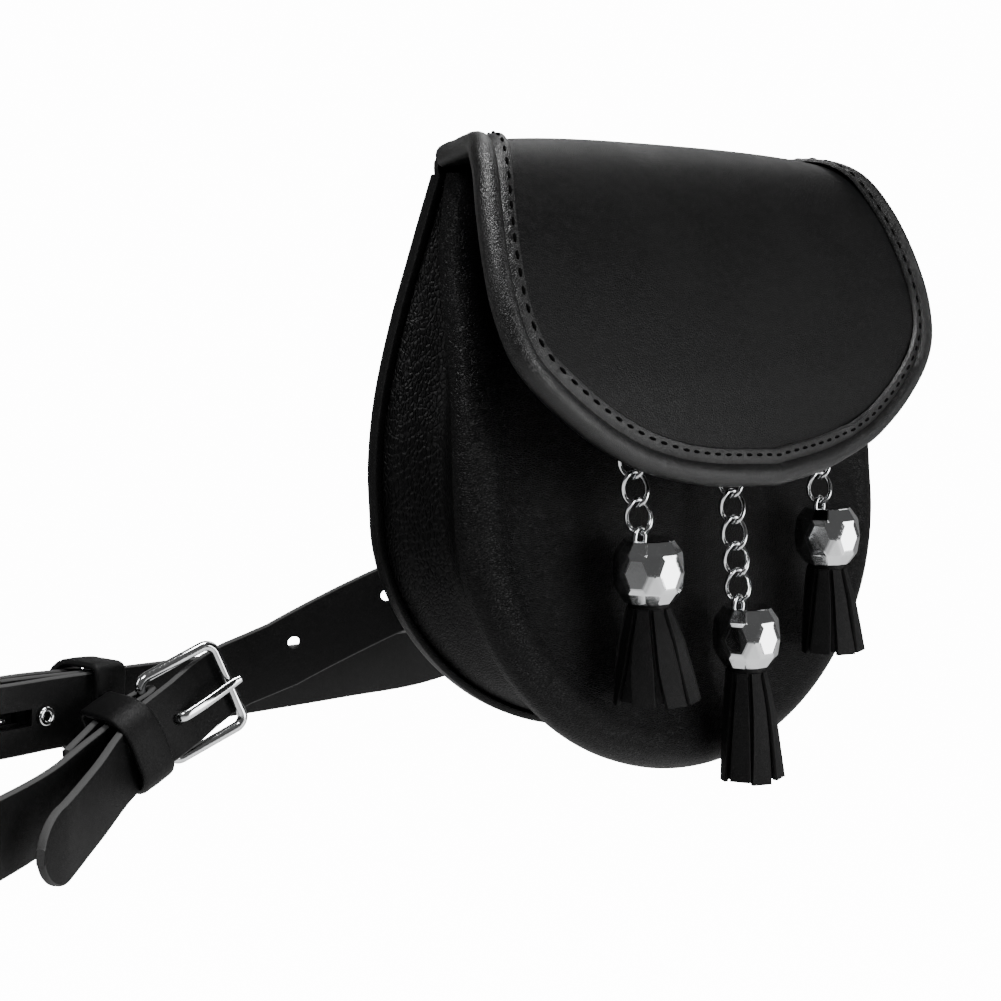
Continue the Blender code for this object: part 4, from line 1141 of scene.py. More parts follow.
def grain_group():
    """Leather grain: height of pebbles and pores, and a slow mottle."""
    if "leather_grain" in bpy.data.node_groups:
        return bpy.data.node_groups["leather_grain"]
    tree = bpy.data.node_groups.new("leather_grain", "ShaderNodeTree")
    for label, kind, value in (("Vector", "NodeSocketVector", None),
                               ("Pebble scale", "NodeSocketFloat", 1400.0),
                               ("Stretch", "NodeSocketFloat", 1.0),
                               ("Pores", "NodeSocketFloat", 0.5)):
        socket = tree.interface.new_socket(label, in_out="INPUT", socket_type=kind)
        if value is not None:
            socket.default_value = value
    tree.interface.new_socket("Height", in_out="OUTPUT", socket_type="NodeSocketFloat")
    tree.interface.new_socket("Mottle", in_out="OUTPUT", socket_type="NodeSocketFloat")
    sheet = NodeSheet(tree)
    group_in = sheet.add("NodeGroupInput")
    group_out = sheet.add("NodeGroupOutput")
    stretch = sheet.add("ShaderNodeCombineXYZ", {"X": 1.0, "Y": 1.0, "Z": group_in.outputs["Stretch"]})
    vector = sheet.add("ShaderNodeVectorMath", {0: group_in.outputs["Vector"], 1: stretch.outputs["Vector"]},
                       operation="MULTIPLY")
    bend = sheet.add("ShaderNodeTexNoise", {"Vector": vector.outputs["Vector"], "Scale": BEND_SCALE,
                                            "Detail": 3.0})
    pull = sheet.add("ShaderNodeVectorMath", {0: bend.outputs["Color"], "Scale": BEND_PULL},
                     operation="SCALE")
    warped = sheet.add("ShaderNodeVectorMath", {0: vector.outputs["Vector"], 1: pull.outputs["Vector"]},
                       operation="ADD")
    pebble = sheet.add("ShaderNodeTexVoronoi", {"Vector": warped.outputs["Vector"],
                                                "Scale": group_in.outputs["Pebble scale"]},
                       feature="DISTANCE_TO_EDGE")
    flat = sheet.add("ShaderNodeMapRange", {"Value": pebble.outputs["Distance"], "From Min": 0.0,
                                            "From Max": GROOVE_WIDTH})
    pores = sheet.add("ShaderNodeTexNoise", {"Vector": group_in.outputs["Vector"], "Scale": PORE_SCALE,
                                             "Detail": 2.0})
    pore = sheet.math("MULTIPLY", pores.outputs["Fac"], group_in.outputs["Pores"])
    sheet.tree.links.new(sheet.math("ADD", flat.outputs["Result"], pore), group_out.inputs["Height"])
    mottle = sheet.add("ShaderNodeTexNoise", {"Vector": group_in.outputs["Vector"], "Scale": MOTTLE_SCALE,
                                              "Detail": 4.0})
    tree.links.new(mottle.outputs["Fac"], group_out.inputs["Mottle"])
    return tree


def leather_material(name, colour, edge_highlight_colour=None, roughness=(0.36, 0.52), pebble=1500.0, stretch=1.0,
                     depth=0.00006, pores=0.5, specular=0.16, creases=0.0):
    """Finished leather: grain bump, mottled gloss and, where marked, a paler cut edge that is partly raw
    leather and partly a painted highlight.
    """
    mat = bpy.data.materials.new(name)
    mat.use_nodes = True
    sheet = NodeSheet(mat.node_tree)
    shader = mat.node_tree.nodes["Principled BSDF"]
    links = mat.node_tree.links
    place = sheet.add("ShaderNodeTexCoord")
    grain = sheet.add("ShaderNodeGroup", node_tree=grain_group())
    links.new(place.outputs["Object"], grain.inputs["Vector"])
    grain.inputs["Pebble scale"].default_value = pebble
    grain.inputs["Stretch"].default_value = stretch
    grain.inputs["Pores"].default_value = pores
    gloss = sheet.add("ShaderNodeMapRange", {"Value": grain.outputs["Mottle"], "From Min": MOTTLE_RANGE[0],
                                             "From Max": MOTTLE_RANGE[1], "To Min": roughness[0],
                                             "To Max": roughness[1]})
    dark = tuple(c * MOTTLE_DARK for c in colour[:3]) + (1.0,)
    pale = tuple(c * MOTTLE_PALE for c in colour[:3]) + (1.0,)
    tone = sheet.add("ShaderNodeMix", {0: grain.outputs["Mottle"]}, data_type="RGBA")
    tone.inputs[6].default_value = dark
    tone.inputs[7].default_value = pale
    colour_out, rough_out = tone.outputs[2], gloss.outputs["Result"]
    height = grain.outputs["Height"]
    # Marked points of a strap's edge get a paler colour: partly raw cut leather, partly a painted highlight.
    if edge_highlight_colour:
        mark = sheet.add("ShaderNodeAttribute", attribute_name="cut_edge_highlight")
        sharp = sheet.add("ShaderNodeMapRange", {"Value": mark.outputs["Fac"], "From Min": CUT_EDGE_HIGHLIGHT_FROM,
                                                 "From Max": CUT_EDGE_HIGHLIGHT_TO})
        edge = sheet.add("ShaderNodeMix", data_type="RGBA")
        links.new(sharp.outputs["Result"], edge.inputs[0])
        links.new(colour_out, edge.inputs[6])
        edge.inputs[7].default_value = edge_highlight_colour
        rough = sheet.add("ShaderNodeMix", {0: sharp.outputs["Result"], 2: rough_out, 3: CUT_EDGE_ROUGHNESS})
        colour_out, rough_out = edge.outputs[2], rough.outputs[0]
    if creases:
        fold = sheet.add("ShaderNodeTexNoise", {"Vector": place.outputs["Object"], "Scale": CREASE_SCALE,
                                                "Detail": 5.0})
        height = sheet.math("ADD", height, sheet.math("MULTIPLY", fold.outputs["Fac"], creases))
    bump = sheet.add("ShaderNodeBump", {"Height": height, "Distance": depth, "Strength": 1.0})
    links.new(colour_out, shader.inputs["Base Color"])
    links.new(rough_out, shader.inputs["Roughness"])
    links.new(bump.outputs["Normal"], shader.inputs["Normal"])
    shader.inputs["Specular IOR Level"].default_value = specular
    mat.diffuse_color = colour
    return mat


def chrome_material(name, colour, roughness):
    """Polished plating with faint hairlines and soft waviness."""
    mat = bpy.data.materials.new(name)
    mat.use_nodes = True
    sheet = NodeSheet(mat.node_tree)
    shader = mat.node_tree.nodes["Principled BSDF"]
    links = mat.node_tree.links
    place = sheet.add("ShaderNodeTexCoord")
    wave = sheet.add("ShaderNodeTexNoise", {"Vector": place.outputs["Object"], "Scale": CHROME_WAVE_SCALE,
                                            "Detail": 2.0})
    scuff = sheet.add("ShaderNodeTexNoise", {"Vector": place.outputs["Object"], "Scale": CHROME_SCUFF_SCALE,
                                             "Detail": 4.0})
    rough = sheet.add("ShaderNodeMapRange", {"Value": scuff.outputs["Fac"], "From Min": CHROME_SCUFF_RANGE[0],
                                             "From Max": CHROME_SCUFF_RANGE[1], "To Min": roughness,
                                             "To Max": roughness + CHROME_SCUFF_ROUGHNESS})
    tone = sheet.add("ShaderNodeMix", {0: wave.outputs["Fac"]}, data_type="RGBA")
    tone.inputs[6].default_value = tuple(c * CHROME_TINT for c in colour[:3]) + (1.0,)
    tone.inputs[7].default_value = colour
    bump = sheet.add("ShaderNodeBump", {"Height": wave.outputs["Fac"], "Distance": CHROME_WAVE_DEPTH,
                                       "Strength": 1.0})
    links.new(tone.outputs[2], shader.inputs["Base Color"])
    links.new(rough.outputs["Result"], shader.inputs["Roughness"])
    links.new(bump.outputs["Normal"], shader.inputs["Normal"])
    shader.inputs["Metallic"].default_value = 1.0
    mat.diffuse_color = colour
    return mat


def thread_material(name, colour):
    """Waxed black thread with a fine twist."""
    mat = bpy.data.materials.new(name)
    mat.use_nodes = True
    sheet = NodeSheet(mat.node_tree)
    shader = mat.node_tree.nodes["Principled BSDF"]
    place = sheet.add("ShaderNodeTexCoord")
    twist = sheet.add("ShaderNodeTexNoise", {"Vector": place.outputs["Object"], "Scale": THREAD_TWIST_SCALE,
                                             "Detail": 2.0})
    tone = sheet.add("ShaderNodeMix", {0: twist.outputs["Fac"]}, data_type="RGBA")
    tone.inputs[6].default_value = tuple(c * THREAD_DARK for c in colour[:3]) + (1.0,)
    tone.inputs[7].default_value = colour
    bump = sheet.add("ShaderNodeBump", {"Height": twist.outputs["Fac"], "Distance": THREAD_TWIST_DEPTH,
                                       "Strength": 1.0})
    mat.node_tree.links.new(tone.outputs[2], shader.inputs["Base Color"])
    mat.node_tree.links.new(bump.outputs["Normal"], shader.inputs["Normal"])
    shader.inputs["Roughness"].default_value = THREAD_ROUGHNESS
    shader.inputs["Specular IOR Level"].default_value = 0.0
    mat.diffuse_color = colour
    return mat


def length_property(name, description, value):
    return bpy.props.FloatProperty(name=name, description=description, default=value, min=0.0, unit="LENGTH",
                                   subtype="DISTANCE", precision=5)


def colour_property(name, description, value):
    return bpy.props.FloatVectorProperty(name=name, description=description, default=value, size=4,
                                         min=0.0, max=1.0, subtype="COLOR")


class SporranLeather(bpy.types.PropertyGroup):
    panel_colour: colour_property("Panel colour", "Colour of the panels, flap and strap",
                                  (0.0018, 0.0018, 0.0019, 1.0))
    gusset_colour: colour_property("Gusset colour", "Colour of the soft side gusset",
                                   (0.0007, 0.0007, 0.0008, 1.0))
    # Pale colour of the strap's cut edges, partly raw leather and partly a painted highlight.
    cut_highlight_colour: colour_property("Cut edge and highlight colour", "Colour of the strap's cut edges and their painted highlight",
                                (0.055, 0.055, 0.055, 1.0))
    grain_depth: length_property("Grain depth", "Height of the leather's grain", 0.00005)


class SporranStitching(bpy.types.PropertyGroup):
    pitch: length_property("Pitch", "Distance from stitch to stitch", 0.0046)
    stitch_length: length_property("Stitch length", "Length of the thread that shows", 0.0026)
    thread_width: length_property("Thread width", "Width of the thread", 0.0009)
    thread_colour: colour_property("Thread colour", "Colour of the thread", (0.004, 0.004, 0.004, 1.0))


class SporranMetal(bpy.types.PropertyGroup):
    chrome_colour: colour_property("Chrome colour", "Colour of the plating", (0.83, 0.84, 0.85, 1.0))
    roughness: bpy.props.FloatProperty(name="Roughness", description="Roughness of the plating",
                                       default=0.06, min=0.0, max=1.0, subtype="FACTOR")


class SporranStudio(bpy.types.PropertyGroup):
    light_power: bpy.props.FloatProperty(name="Light power", description="Scale of every light's power",
                                         default=1.0, min=0.0)
    floor_colour: colour_property("Floor colour", "Colour of the floor and backdrop", (0.92, 0.92, 0.92, 1.0))


class SPORRAN_OT_materials(bpy.types.Operator):
    """Build the leather, thread and chrome materials"""

    bl_idname = "sporran.materials"
    bl_label = "Materials"

    def execute(self, context):
        leather = context.scene.sporran_leather
        metal = context.scene.sporran_metal
        base = tuple(leather.panel_colour)
        depth = leather.grain_depth
        leather_material("panel_leather", base, depth=depth, roughness=(0.36, 0.48), specular=0.15)
        leather_material("front_leather", base, depth=depth * 3.0, roughness=(0.34, 0.46), pebble=850.0,
                         stretch=2.4, pores=0.2, specular=0.12)
        leather_material("edging_leather", base, depth=depth, roughness=(0.30, 0.40), pebble=1900.0,
                         specular=0.42)
        # The strap's cut edges get a paler colour, partly a painted highlight.
        leather_material("strap_leather", base, edge_highlight_colour=tuple(leather.cut_highlight_colour), depth=depth * 0.7,
                         roughness=(0.42, 0.56), pebble=2100.0)
        leather_material("gusset_leather", tuple(leather.gusset_colour), depth=depth * 3.0,
                         roughness=(0.4, 0.55), pebble=1000.0, stretch=0.5, creases=0.8)
        leather_material("tassel_leather", base, depth=depth, roughness=(0.46, 0.62), pebble=2300.0)
        chrome_material("chrome", tuple(metal.chrome_colour), metal.roughness)
        thread_material("thread", tuple(context.scene.sporran_stitching.thread_colour))
        return {"FINISHED"}


class SPORRAN_OT_body(bpy.types.Operator):
    """Build the back panel, front panel and side gusset"""

    bl_idname = "sporran.body"
    bl_label = "Pouch body"

    def execute(self, context):
        back, back_in = half_outline(1)
        front, front_in = half_outline(2)
        leather = bpy.data.materials["panel_leather"]
        back_piece = panel_shell("back_panel_look", back, back_in, fine(BACK_ROLL), [0.0] * len(back),
                                 spine_heights(back, BACK_SPINE_END), lambda z: 0.0, BACK_FACE_STEPS,
                                 True, leather)
        ridge = [-ridge_forward(p[1]) for p in front]
        front_piece = panel_shell("front_panel_look", front, front_in, fine(FRONT_ROLL), ridge,
                                  spine_heights(front, FRONT_SPINE_END), front_face_y, FRONT_FACE_STEPS,
                                  False, leather)
        front_piece.data.materials[0] = bpy.data.materials["front_leather"]
        gusset = self.gusset(back, back_in, front, front_in, ridge)
        for obj, slot, node in ((back_piece, "black_leather", "back_panel"),
                                (front_piece, "black_leather", "front_panel"),
                                (gusset, "soft_black_leather", "side_gusset")):
            bake(obj)
            round_edges(obj, LEATHER_BEVEL, PANEL_EDGE_ANGLE)
            bake(obj)
            if node == "side_gusset":
                self.wrinkle(obj)
            finish_piece(obj, [node])
        return {"FINISHED"}

    def gusset(self, back, back_in, front, front_in, ridge):
        rows = fine(GUSSET_FOLD)
        verts = []
        for i in range(len(back)):
            b = (back[i][0], min(back[i][1], GUSSET_TOP))
            f = (front[i][0], min(front[i][1], GUSSET_TOP))
            front_y = ridge[i] - GUSSET_FRONT_LAP
            fold = GUSSET_FOLD_DEPTH * min(1.0, (GUSSET_BACK_Y - front_y) / GUSSET_FULL_DEPTH)
            for share, inset, depth in rows:
                inner = inset + depth * fold
                nx = lerp(back_in[i][0], front_in[i][0], share)
                nz = lerp(back_in[i][1], front_in[i][1], share)
                x = lerp(b[0], f[0], share) + nx * inner
                z = lerp(b[1], f[1], share) + nz * inner
                verts.append((0.0 if i == len(back) - 1 else x, lerp(GUSSET_BACK_Y, front_y, share), z))
        obj = make_object("side_gusset_look", verts, grid_faces(len(back), len(rows)),
                          bpy.data.materials["gusset_leather"])
        add_wall(obj, GUSSET_WALL, 0.0)
        return obj

    def wrinkle(self, obj):
        """Soft wrinkles across the fold, pressed into the gusset's points."""
        sx, sy, sz = GUSSET_WRINKLE_SIZE
        for v in obj.data.vertices:
            p = v.co / MM
            wave = noise.noise(Vector((p.x / sx, p.y / sy, p.z / sz)))
            v.co -= Vector((math.copysign(1.0, p.x) * GUSSET_WRINKLE * MM * wave, 0.0, 0.0))
        obj.data.update()


class SPORRAN_OT_flap(bpy.types.Operator):
    """Build the flap, its folded edging and the edging's stitches"""

    bl_idname = "sporran.flap"
    bl_label = "Flap"

    def execute(self, context):
        profile, edge, at, face = flap_maps()
        pole = profile.length - FLAP_POLE
        stops = [edge.length * i / FLAP_EDGE_STEPS for i in range(FLAP_EDGE_STEPS + 1)]
        straight = max(s for s in stops if edge.point(s).y <= at[FLAP_STRAIGHT_ROW])
        rows = []
        for i, s in enumerate(stops):
            e = edge.point(s)
            spine = e.y
            if s > straight:
                spine = lerp(edge.point(straight).y, pole, (s - straight) / (edge.length - straight))
            x_edge = 0.0 if i == FLAP_EDGE_STEPS else e.x
            steps = [k / FLAP_FACE_STEPS for k in range(FLAP_FACE_STEPS + 1)]
            rows.append([face(x_edge * (1.0 - t), lerp(e.y, spine, t)) for t in steps])
        verts = [tuple(p) for row in rows for p in row]
        obj = make_object("flap_look", verts, grid_faces(len(rows), len(rows[0])),
                          bpy.data.materials["panel_leather"])
        add_wall(obj, FLAP_WALL)
        bake(obj)
        round_edges(obj, LEATHER_BEVEL, PANEL_EDGE_ANGLE)
        bake(obj)
        finish_piece(obj, ["flap"])
        self.edging(context, rows)
        return {"FINISHED"}

    def edging(self, context, rows):
        rings, thread = [], []
        last = len(rows) - 1
        for i in range(BIND_FIRST, len(rows)):
            p = rows[i][0]
            along = Vector((1.0, 0.0, 0.0)) if i == last else (rows[i + 1][0] - rows[i - 1][0]).normalized()
            out = p - rows[i][3]
            out = (out - along * along.dot(out)).normalized()
            normal = out.cross(along).normalized()
            if normal.y > 0.0 and normal.z < 0.0:
                normal = -normal
            rings.append([p + out * reach + normal * rise for reach, rise in BIND_SECTION])
            thread.append(p + out * STITCH_REACH + normal * STITCH_RISE)
        mirror = Matrix.Diagonal((-1.0, 1.0, 1.0))
        rings += [[mirror @ v for v in ring] for ring in reversed(rings[:-1])]
        thread += [mirror @ v for v in reversed(thread[:-1])]
        shape = Shape()
        shape.loft(rings)
        obj = shape.make("flap_edging_look", bpy.data.materials["edging_leather"])
        finish_piece(obj, ["flap_binding"])
        stitching = context.scene.sporran_stitching
        line = curve_object("seam_path", thread[SEAM_END:-SEAM_END], False)
        seam = run_tree(line, "flap_stitches", stitch_tree(), {
            "Pitch": stitching.pitch, "Stitch length": stitching.stitch_length,
            "Thread width": stitching.thread_width, "Material": bpy.data.materials["thread"]})
        finish_piece(seam, [], crease=WIRE_CREASE)


class SPORRAN_OT_back_loops(bpy.types.Operator):
    """Build the leather loops on the back that the strap runs through"""

    bl_idname = "sporran.back_loops"
    bl_label = "Back loops"

    def execute(self, context):
        rows = fine(LOOP_ROWS, 4)
        for label, x in (("left", -LOOP_X), ("right", LOOP_X)):
            rings = []
            for side in (-LOOP_WIDTH / 2.0, LOOP_WIDTH / 2.0):
                ring = [Vector((x + side, max(y, GAP), z)) for z, y in rows]
                ring += [Vector((x + side, max(y, GAP) + LOOP_WALL, z)) for z, y in reversed(rows)]
                rings.append(ring)
            shape = Shape()
            shape.loft(rings)
            obj = shape.make(f"back_loop_{label}_look", bpy.data.materials["strap_leather"])
            round_edges(obj, LEATHER_BEVEL, LOOP_EDGE_ANGLE)
            bake(obj)
            finish_piece(obj, [f"back_loop_{label}"])
        return {"FINISHED"}


class SPORRAN_OT_chains(bpy.types.Operator):
    """Build the curb chains and the fixings that they hang from"""

    bl_idname = "sporran.chains"
    bl_label = "Chains"

    def execute(self, context):
        chrome = bpy.data.materials["chrome"]
        height = LINK_PITCH + LINK_WIRE + WIRE_GAP
        for name, x, y, bead_z, lean_x, lean_y, links, *_ in DROPS:
            eye = (x + EYE_OFFSET[0], y + EYE_OFFSET[1], bead_z + BEAD_HEIGHT / 2.0 + EYE_RISE)
            line = HangLine(eye, lean_x, lean_y, LINK_PITCH * links)
            first = height / 2.0 - LINK_WIRE - WIRE_GAP
            centres = [line.at(first + LINK_PITCH * k) for k in range(links)]
            link = curve_object(f"link_path_{name}", [p - centres[0] for p in link_path(line, first)], True)
            points = point_object(f"chain_points_{name}", centres)
            chain = run_tree(points, f"chain_{name}_look", chain_tree(), {
                "Link path": link, "Wire radius": LINK_WIRE / 2.0 * MM, "Wire sides": WIRE_SIDES,
                "Material": chrome})
            bpy.data.objects.remove(link, do_unlink=True)
            nodes = [f"chain_{name}_link_{k:02d}" for k in range(1, links + 1)]
            finish_piece(chain, nodes, crease=WIRE_CREASE)
            self.fixing(name, line, first + LINK_PITCH * (links - 1) + height / 2.0, chrome)
        return {"FINISHED"}

    def fixing(self, name, line, top, chrome):
        turn = math.radians(90.0 + LINK_TWIST)
        around = line.across * math.cos(turn) + line.depth * math.sin(turn)
        centre = line.at(top - LINK_WIRE - WIRE_GAP + ANCHOR_RING)
        path = []
        for k in range(ANCHOR_STEPS):
            angle = 2.0 * math.pi * (k + 0.5) / ANCHOR_STEPS
            path.append(centre + around * (ANCHOR_RING * math.cos(angle))
                        + line.along * (ANCHOR_RING * math.sin(angle)))
        crown = centre + line.along * ANCHOR_RING
        wall_y = anchor_wall(crown.x, crown.z) - GAP
        shape = Shape()
        post = [(crown.x, crown.y, crown.z), (crown.x, wall_y - POST_END, crown.z)]
        plate = [(crown.x, wall_y - ANCHOR_PLATE_WALL, crown.z), (crown.x, wall_y, crown.z)]
        shape.loft(tube_rings(post, ANCHOR_POST, WIRE_SIDES))
        shape.loft(tube_rings(plate, ANCHOR_PLATE, ANCHOR_STEPS))
        base = shape.make("base", chrome)
        ring = wire_piece(f"chain_anchor_{name}_look", path, LINK_WIRE / 2.0, WIRE_SIDES, chrome)
        finish_piece(join_pieces(ring, [base]), [f"chain_anchor_{name}"])


class SPORRAN_OT_beads(bpy.types.Operator):
    """Build the faceted chrome beads with their eyes"""

    bl_idname = "sporran.beads"
    bl_label = "Beads"

    def execute(self, context):
        chrome = bpy.data.materials["chrome"]
        for name, x, y, bead_z, *_ in DROPS:
            bead = bead_solid(f"bead_{name}_look", (x, y, bead_z), chrome)
            self.frame_facets(bead)
            round_edges(bead, FACET_BEVEL, FACET_ANGLE / 2.0, 1)
            bake(bead)
            crease_edges(bead, FACET_CREASE)
            turn = math.radians(90.0 - LINK_TWIST + LINK_FACING)
            centre = (x + EYE_OFFSET[0], y + EYE_OFFSET[1], bead_z + BEAD_HEIGHT / 2.0)
            path = arch_path(centre, EYE_REACH, EYE_RISE, turn, EYE_LEGS)
            eye = wire_piece("eye", path, LINK_WIRE / 2.0, WIRE_SIDES, chrome, closed=False)
            crease_edges(eye, CREASE_ANGLE)
            finish_piece(join_pieces(bead, [eye]), [f"bead_{name}"], crease=None)
        return {"FINISHED"}

    def frame_facets(self, bead):
        """Insets the six-sided facets so that each lies in a sloping frame."""
        bm = bmesh.new()
        bm.from_mesh(bead.data)
        facets = [f for f in bm.faces if len(f.verts) == 6]
        bmesh.ops.inset_individual(bm, faces=facets, thickness=FACET_INSET * MM, depth=FACET_RISE * MM)
        bm.to_mesh(bead.data)
        bm.free()


class SPORRAN_OT_tassels(bpy.types.Operator):
    """Build the leather tassels, cut strips round a bound neck"""

    bl_idname = "sporran.tassels"
    bl_label = "Tassels"

    def execute(self, context):
        chance = random.Random(TASSEL_SEED)
        for name, x, y, bead_z, _, _, _, spread, length in DROPS:
            top = (x, y, bead_z - BEAD_HEIGHT / 2.0 - GAP)
            shape = Shape()
            neck = [(x, y, top[2] - TASSEL_NECK_HEIGHT), (x, y, top[2])]
            shape.loft(tube_rings(neck, TASSEL_NECK, TASSEL_SIDES))
            for k in range(STRIPS):
                angle = 2.0 * math.pi * (k + STRIP_TURN) / STRIPS
                cut_short = STRIP_STAGGER * (STRIP_CUT * (k % 2) + STRIP_CUT * chance.random())
                self.strip(shape, top, angle, STRIPS, TASSEL_NECK - STRIP_BITE, spread,
                           length - cut_short, chance)
            for k in range(STRIPS):
                angle = 2.0 * math.pi * (k + 0.5 + STRIP_TURN) / STRIPS
                self.strip(shape, top, angle, STRIPS, TASSEL_NECK - UNDER_STRIP_INSET,
                           spread - UNDER_STRIP_INSET,
                           length - STRIP_STAGGER * (UNDER_STRIP_CUT + chance.random()), chance)
            for k in range(INNER_STRIPS):
                angle = 2.0 * math.pi * (k + 0.5) / INNER_STRIPS
                self.strip(shape, top, angle, INNER_STRIPS, INNER_START, spread * INNER_SPREAD,
                           length - 2.0 * STRIP_STAGGER, chance)
            obj = shape.make(f"tassel_{name}_look", bpy.data.materials["tassel_leather"])
            finish_piece(obj, [f"tassel_{name}"], crease=TASSEL_CREASE)
        return {"FINISHED"}

    def strip(self, shape, top, angle, count, start, reach, length, chance):
        """One cut strip: thin, with rounded corners, a slight curl and a slight turn."""
        x, y, z = top
        curl = STRIP_CURL * (chance.random() - 0.35)
        sway = STRIP_SWAY * (chance.random() - 0.5)
        shares = [row[0] for row in STRIP_ROWS]
        leans = [row[1] for row in STRIP_ROWS]
        rings = []
        for i in range(STRIP_FINE_ROWS + 1):
            share = lerp(shares[0], 1.0, i / STRIP_FINE_ROWS)
            lean = float(np.interp(share, shares, leans))
            turn = angle + sway * share * share
            out = Vector((math.cos(turn), math.sin(turn), 0.0))
            across = Vector((-math.sin(turn), math.cos(turn), 0.0))
            r = lerp(start, reach, lean) - curl * math.sin(math.pi * share) * 0.5
            room = 2.0 * (r - STRIP_WALL / 2.0) * math.tan(math.pi / count) * STRIP_FILL
            half = min(STRIP_WIDTH, room) / 2.0
            back = lerp(1.0, TASSEL_BACK_SHARE, lean)
            level = z - STRIP_TOP - (length - STRIP_TOP) * share
            ring = []
            for side, face in STRIP_SECTION:
                v = out * (r + face * STRIP_WALL) + across * (half * side)
                depth = v.y * back if v.y > 0.0 else v.y
                ring.append(Vector((x + v.x, y - TASSEL_LEAN * lean + depth, level)))
            rings.append(ring)
        shape.loft(rings)


def strap_section():
    """Rounded section of a strap for a half width: shares (rise, lift) and marks for the pale edge, which is
    partly a painted highlight.
    """
    half_wall = STRAP_WALL / 2.0
    points, marks = [], []
    for sx, sy, start in ((1, 1, 90.0), (1, -1, 0.0), (-1, -1, -90.0), (-1, 1, -180.0)):
        for k in range(STRAP_CORNER_STEPS + 1):
            angle = math.radians(start - 90.0 * k / STRAP_CORNER_STEPS)
            inset = STRAP_CORNER * (1.0 - abs(math.cos(angle)))
            points.append((sx, inset, sy * (half_wall - STRAP_CORNER) + STRAP_CORNER * math.sin(angle)))
            # Marked points get the pale cut-edge colour, partly a painted highlight.
            marks.append(1.0 if inset < CUT_EDGE_HIGHLIGHT_DEPTH else 0.0)
    return points, marks


class SPORRAN_OT_strap(bpy.types.Operator):
    """Build the two halves of the waist strap with their holes and slots"""

    bl_idname = "sporran.strap"
    bl_label = "Waist strap"

    def execute(self, context):
        route = StrapRoute()
        near = route.nearest(NEAR_BAR_XY)
        far = route.nearest(FAR_BAR_XY)
        for name, tail_bar, fold_bar, free_holes in (
            ("strap_front", near, far - route.length, FREE_HOLES_AHEAD),
            ("strap_back", far, near, ()),
        ):
            strap = self.ribbon(route, strap_stations(route, tail_bar, fold_bar), name + "_look")
            prong_lift = PRONG_HOLE_LIFT + route.straight_offset(tail_bar, PRONG_HOLE_AHEAD)[0]
            holes = [(PRONG_HOLE_AHEAD, prong_lift, 0.0, PRONG_HOLE_RADIUS)]
            holes += [(ahead, 0.0, FREE_HOLE_RISE, HOLE_RADIUS) for ahead in free_holes]
            for ahead, lift, rise, radius in holes:
                self.cut(strap, self.hole(route, tail_bar - ahead, lift, rise, radius))
            self.cut(strap, self.slot(route, fold_bar + FOLD_SLOT_BACK))
            finish_piece(strap, [name], crease=STRAP_CREASE)
        return {"FINISHED"}

    def ribbon(self, route, stations, name):
        centres = [route.place(s, lift) + route.frame(s)[2] * rise for s, lift, rise, _ in stations]
        section, marks = strap_section()
        rings = []
        last = len(centres) - 1
        for i, (s, _, _, half) in enumerate(stations):
            up = route.frame(s)[2]
            along = (centres[min(i + 1, last)] - centres[max(i - 1, 0)]).normalized()
            across = along.cross(up).normalized()
            up = across.cross(along).normalized()
            rings.append([centres[i] + up * (side * (half - inset)) + across * lift
                          for side, inset, lift in section])
        shape = Shape()
        shape.loft(rings, marks=marks)
        return shape.make(name, bpy.data.materials["strap_leather"], "cut_edge_highlight")

    def hole(self, route, s, lift, rise, radius):
        _, out, up = route.frame(s)
        centre = route.place(s, lift) + up * rise
        shape = Shape()
        ends = [centre + out * (side * HOLE_DEPTH) for side in (-0.5, 0.5)]
        shape.loft(tube_rings(ends, radius, HOLE_SIDES))
        return shape.make("hole_cutter", bpy.data.materials["strap_leather"])

    def slot(self, route, s):
        along, out, up = route.frame(s)
        centre = route.curve.point(s)
        corners = ((-0.5, -0.5), (0.5, -0.5), (0.5, 0.5), (-0.5, 0.5))
        shape = Shape()
        outline = [along * (a * FOLD_SLOT_LENGTH) + up * (b * FOLD_SLOT_WIDTH) for a, b in corners]
        shape.loft([[centre + out * (side * FOLD_SLOT_DEPTH) + p for p in outline] for side in (-0.5, 0.5)])
        return shape.make("slot_cutter", bpy.data.materials["strap_leather"])

    def cut(self, target, cutter):
        add_modifier(target, "BOOLEAN", "Cut", operation="DIFFERENCE", solver="EXACT", object=cutter)
        bake(target)
        bpy.data.objects.remove(cutter, do_unlink=True)


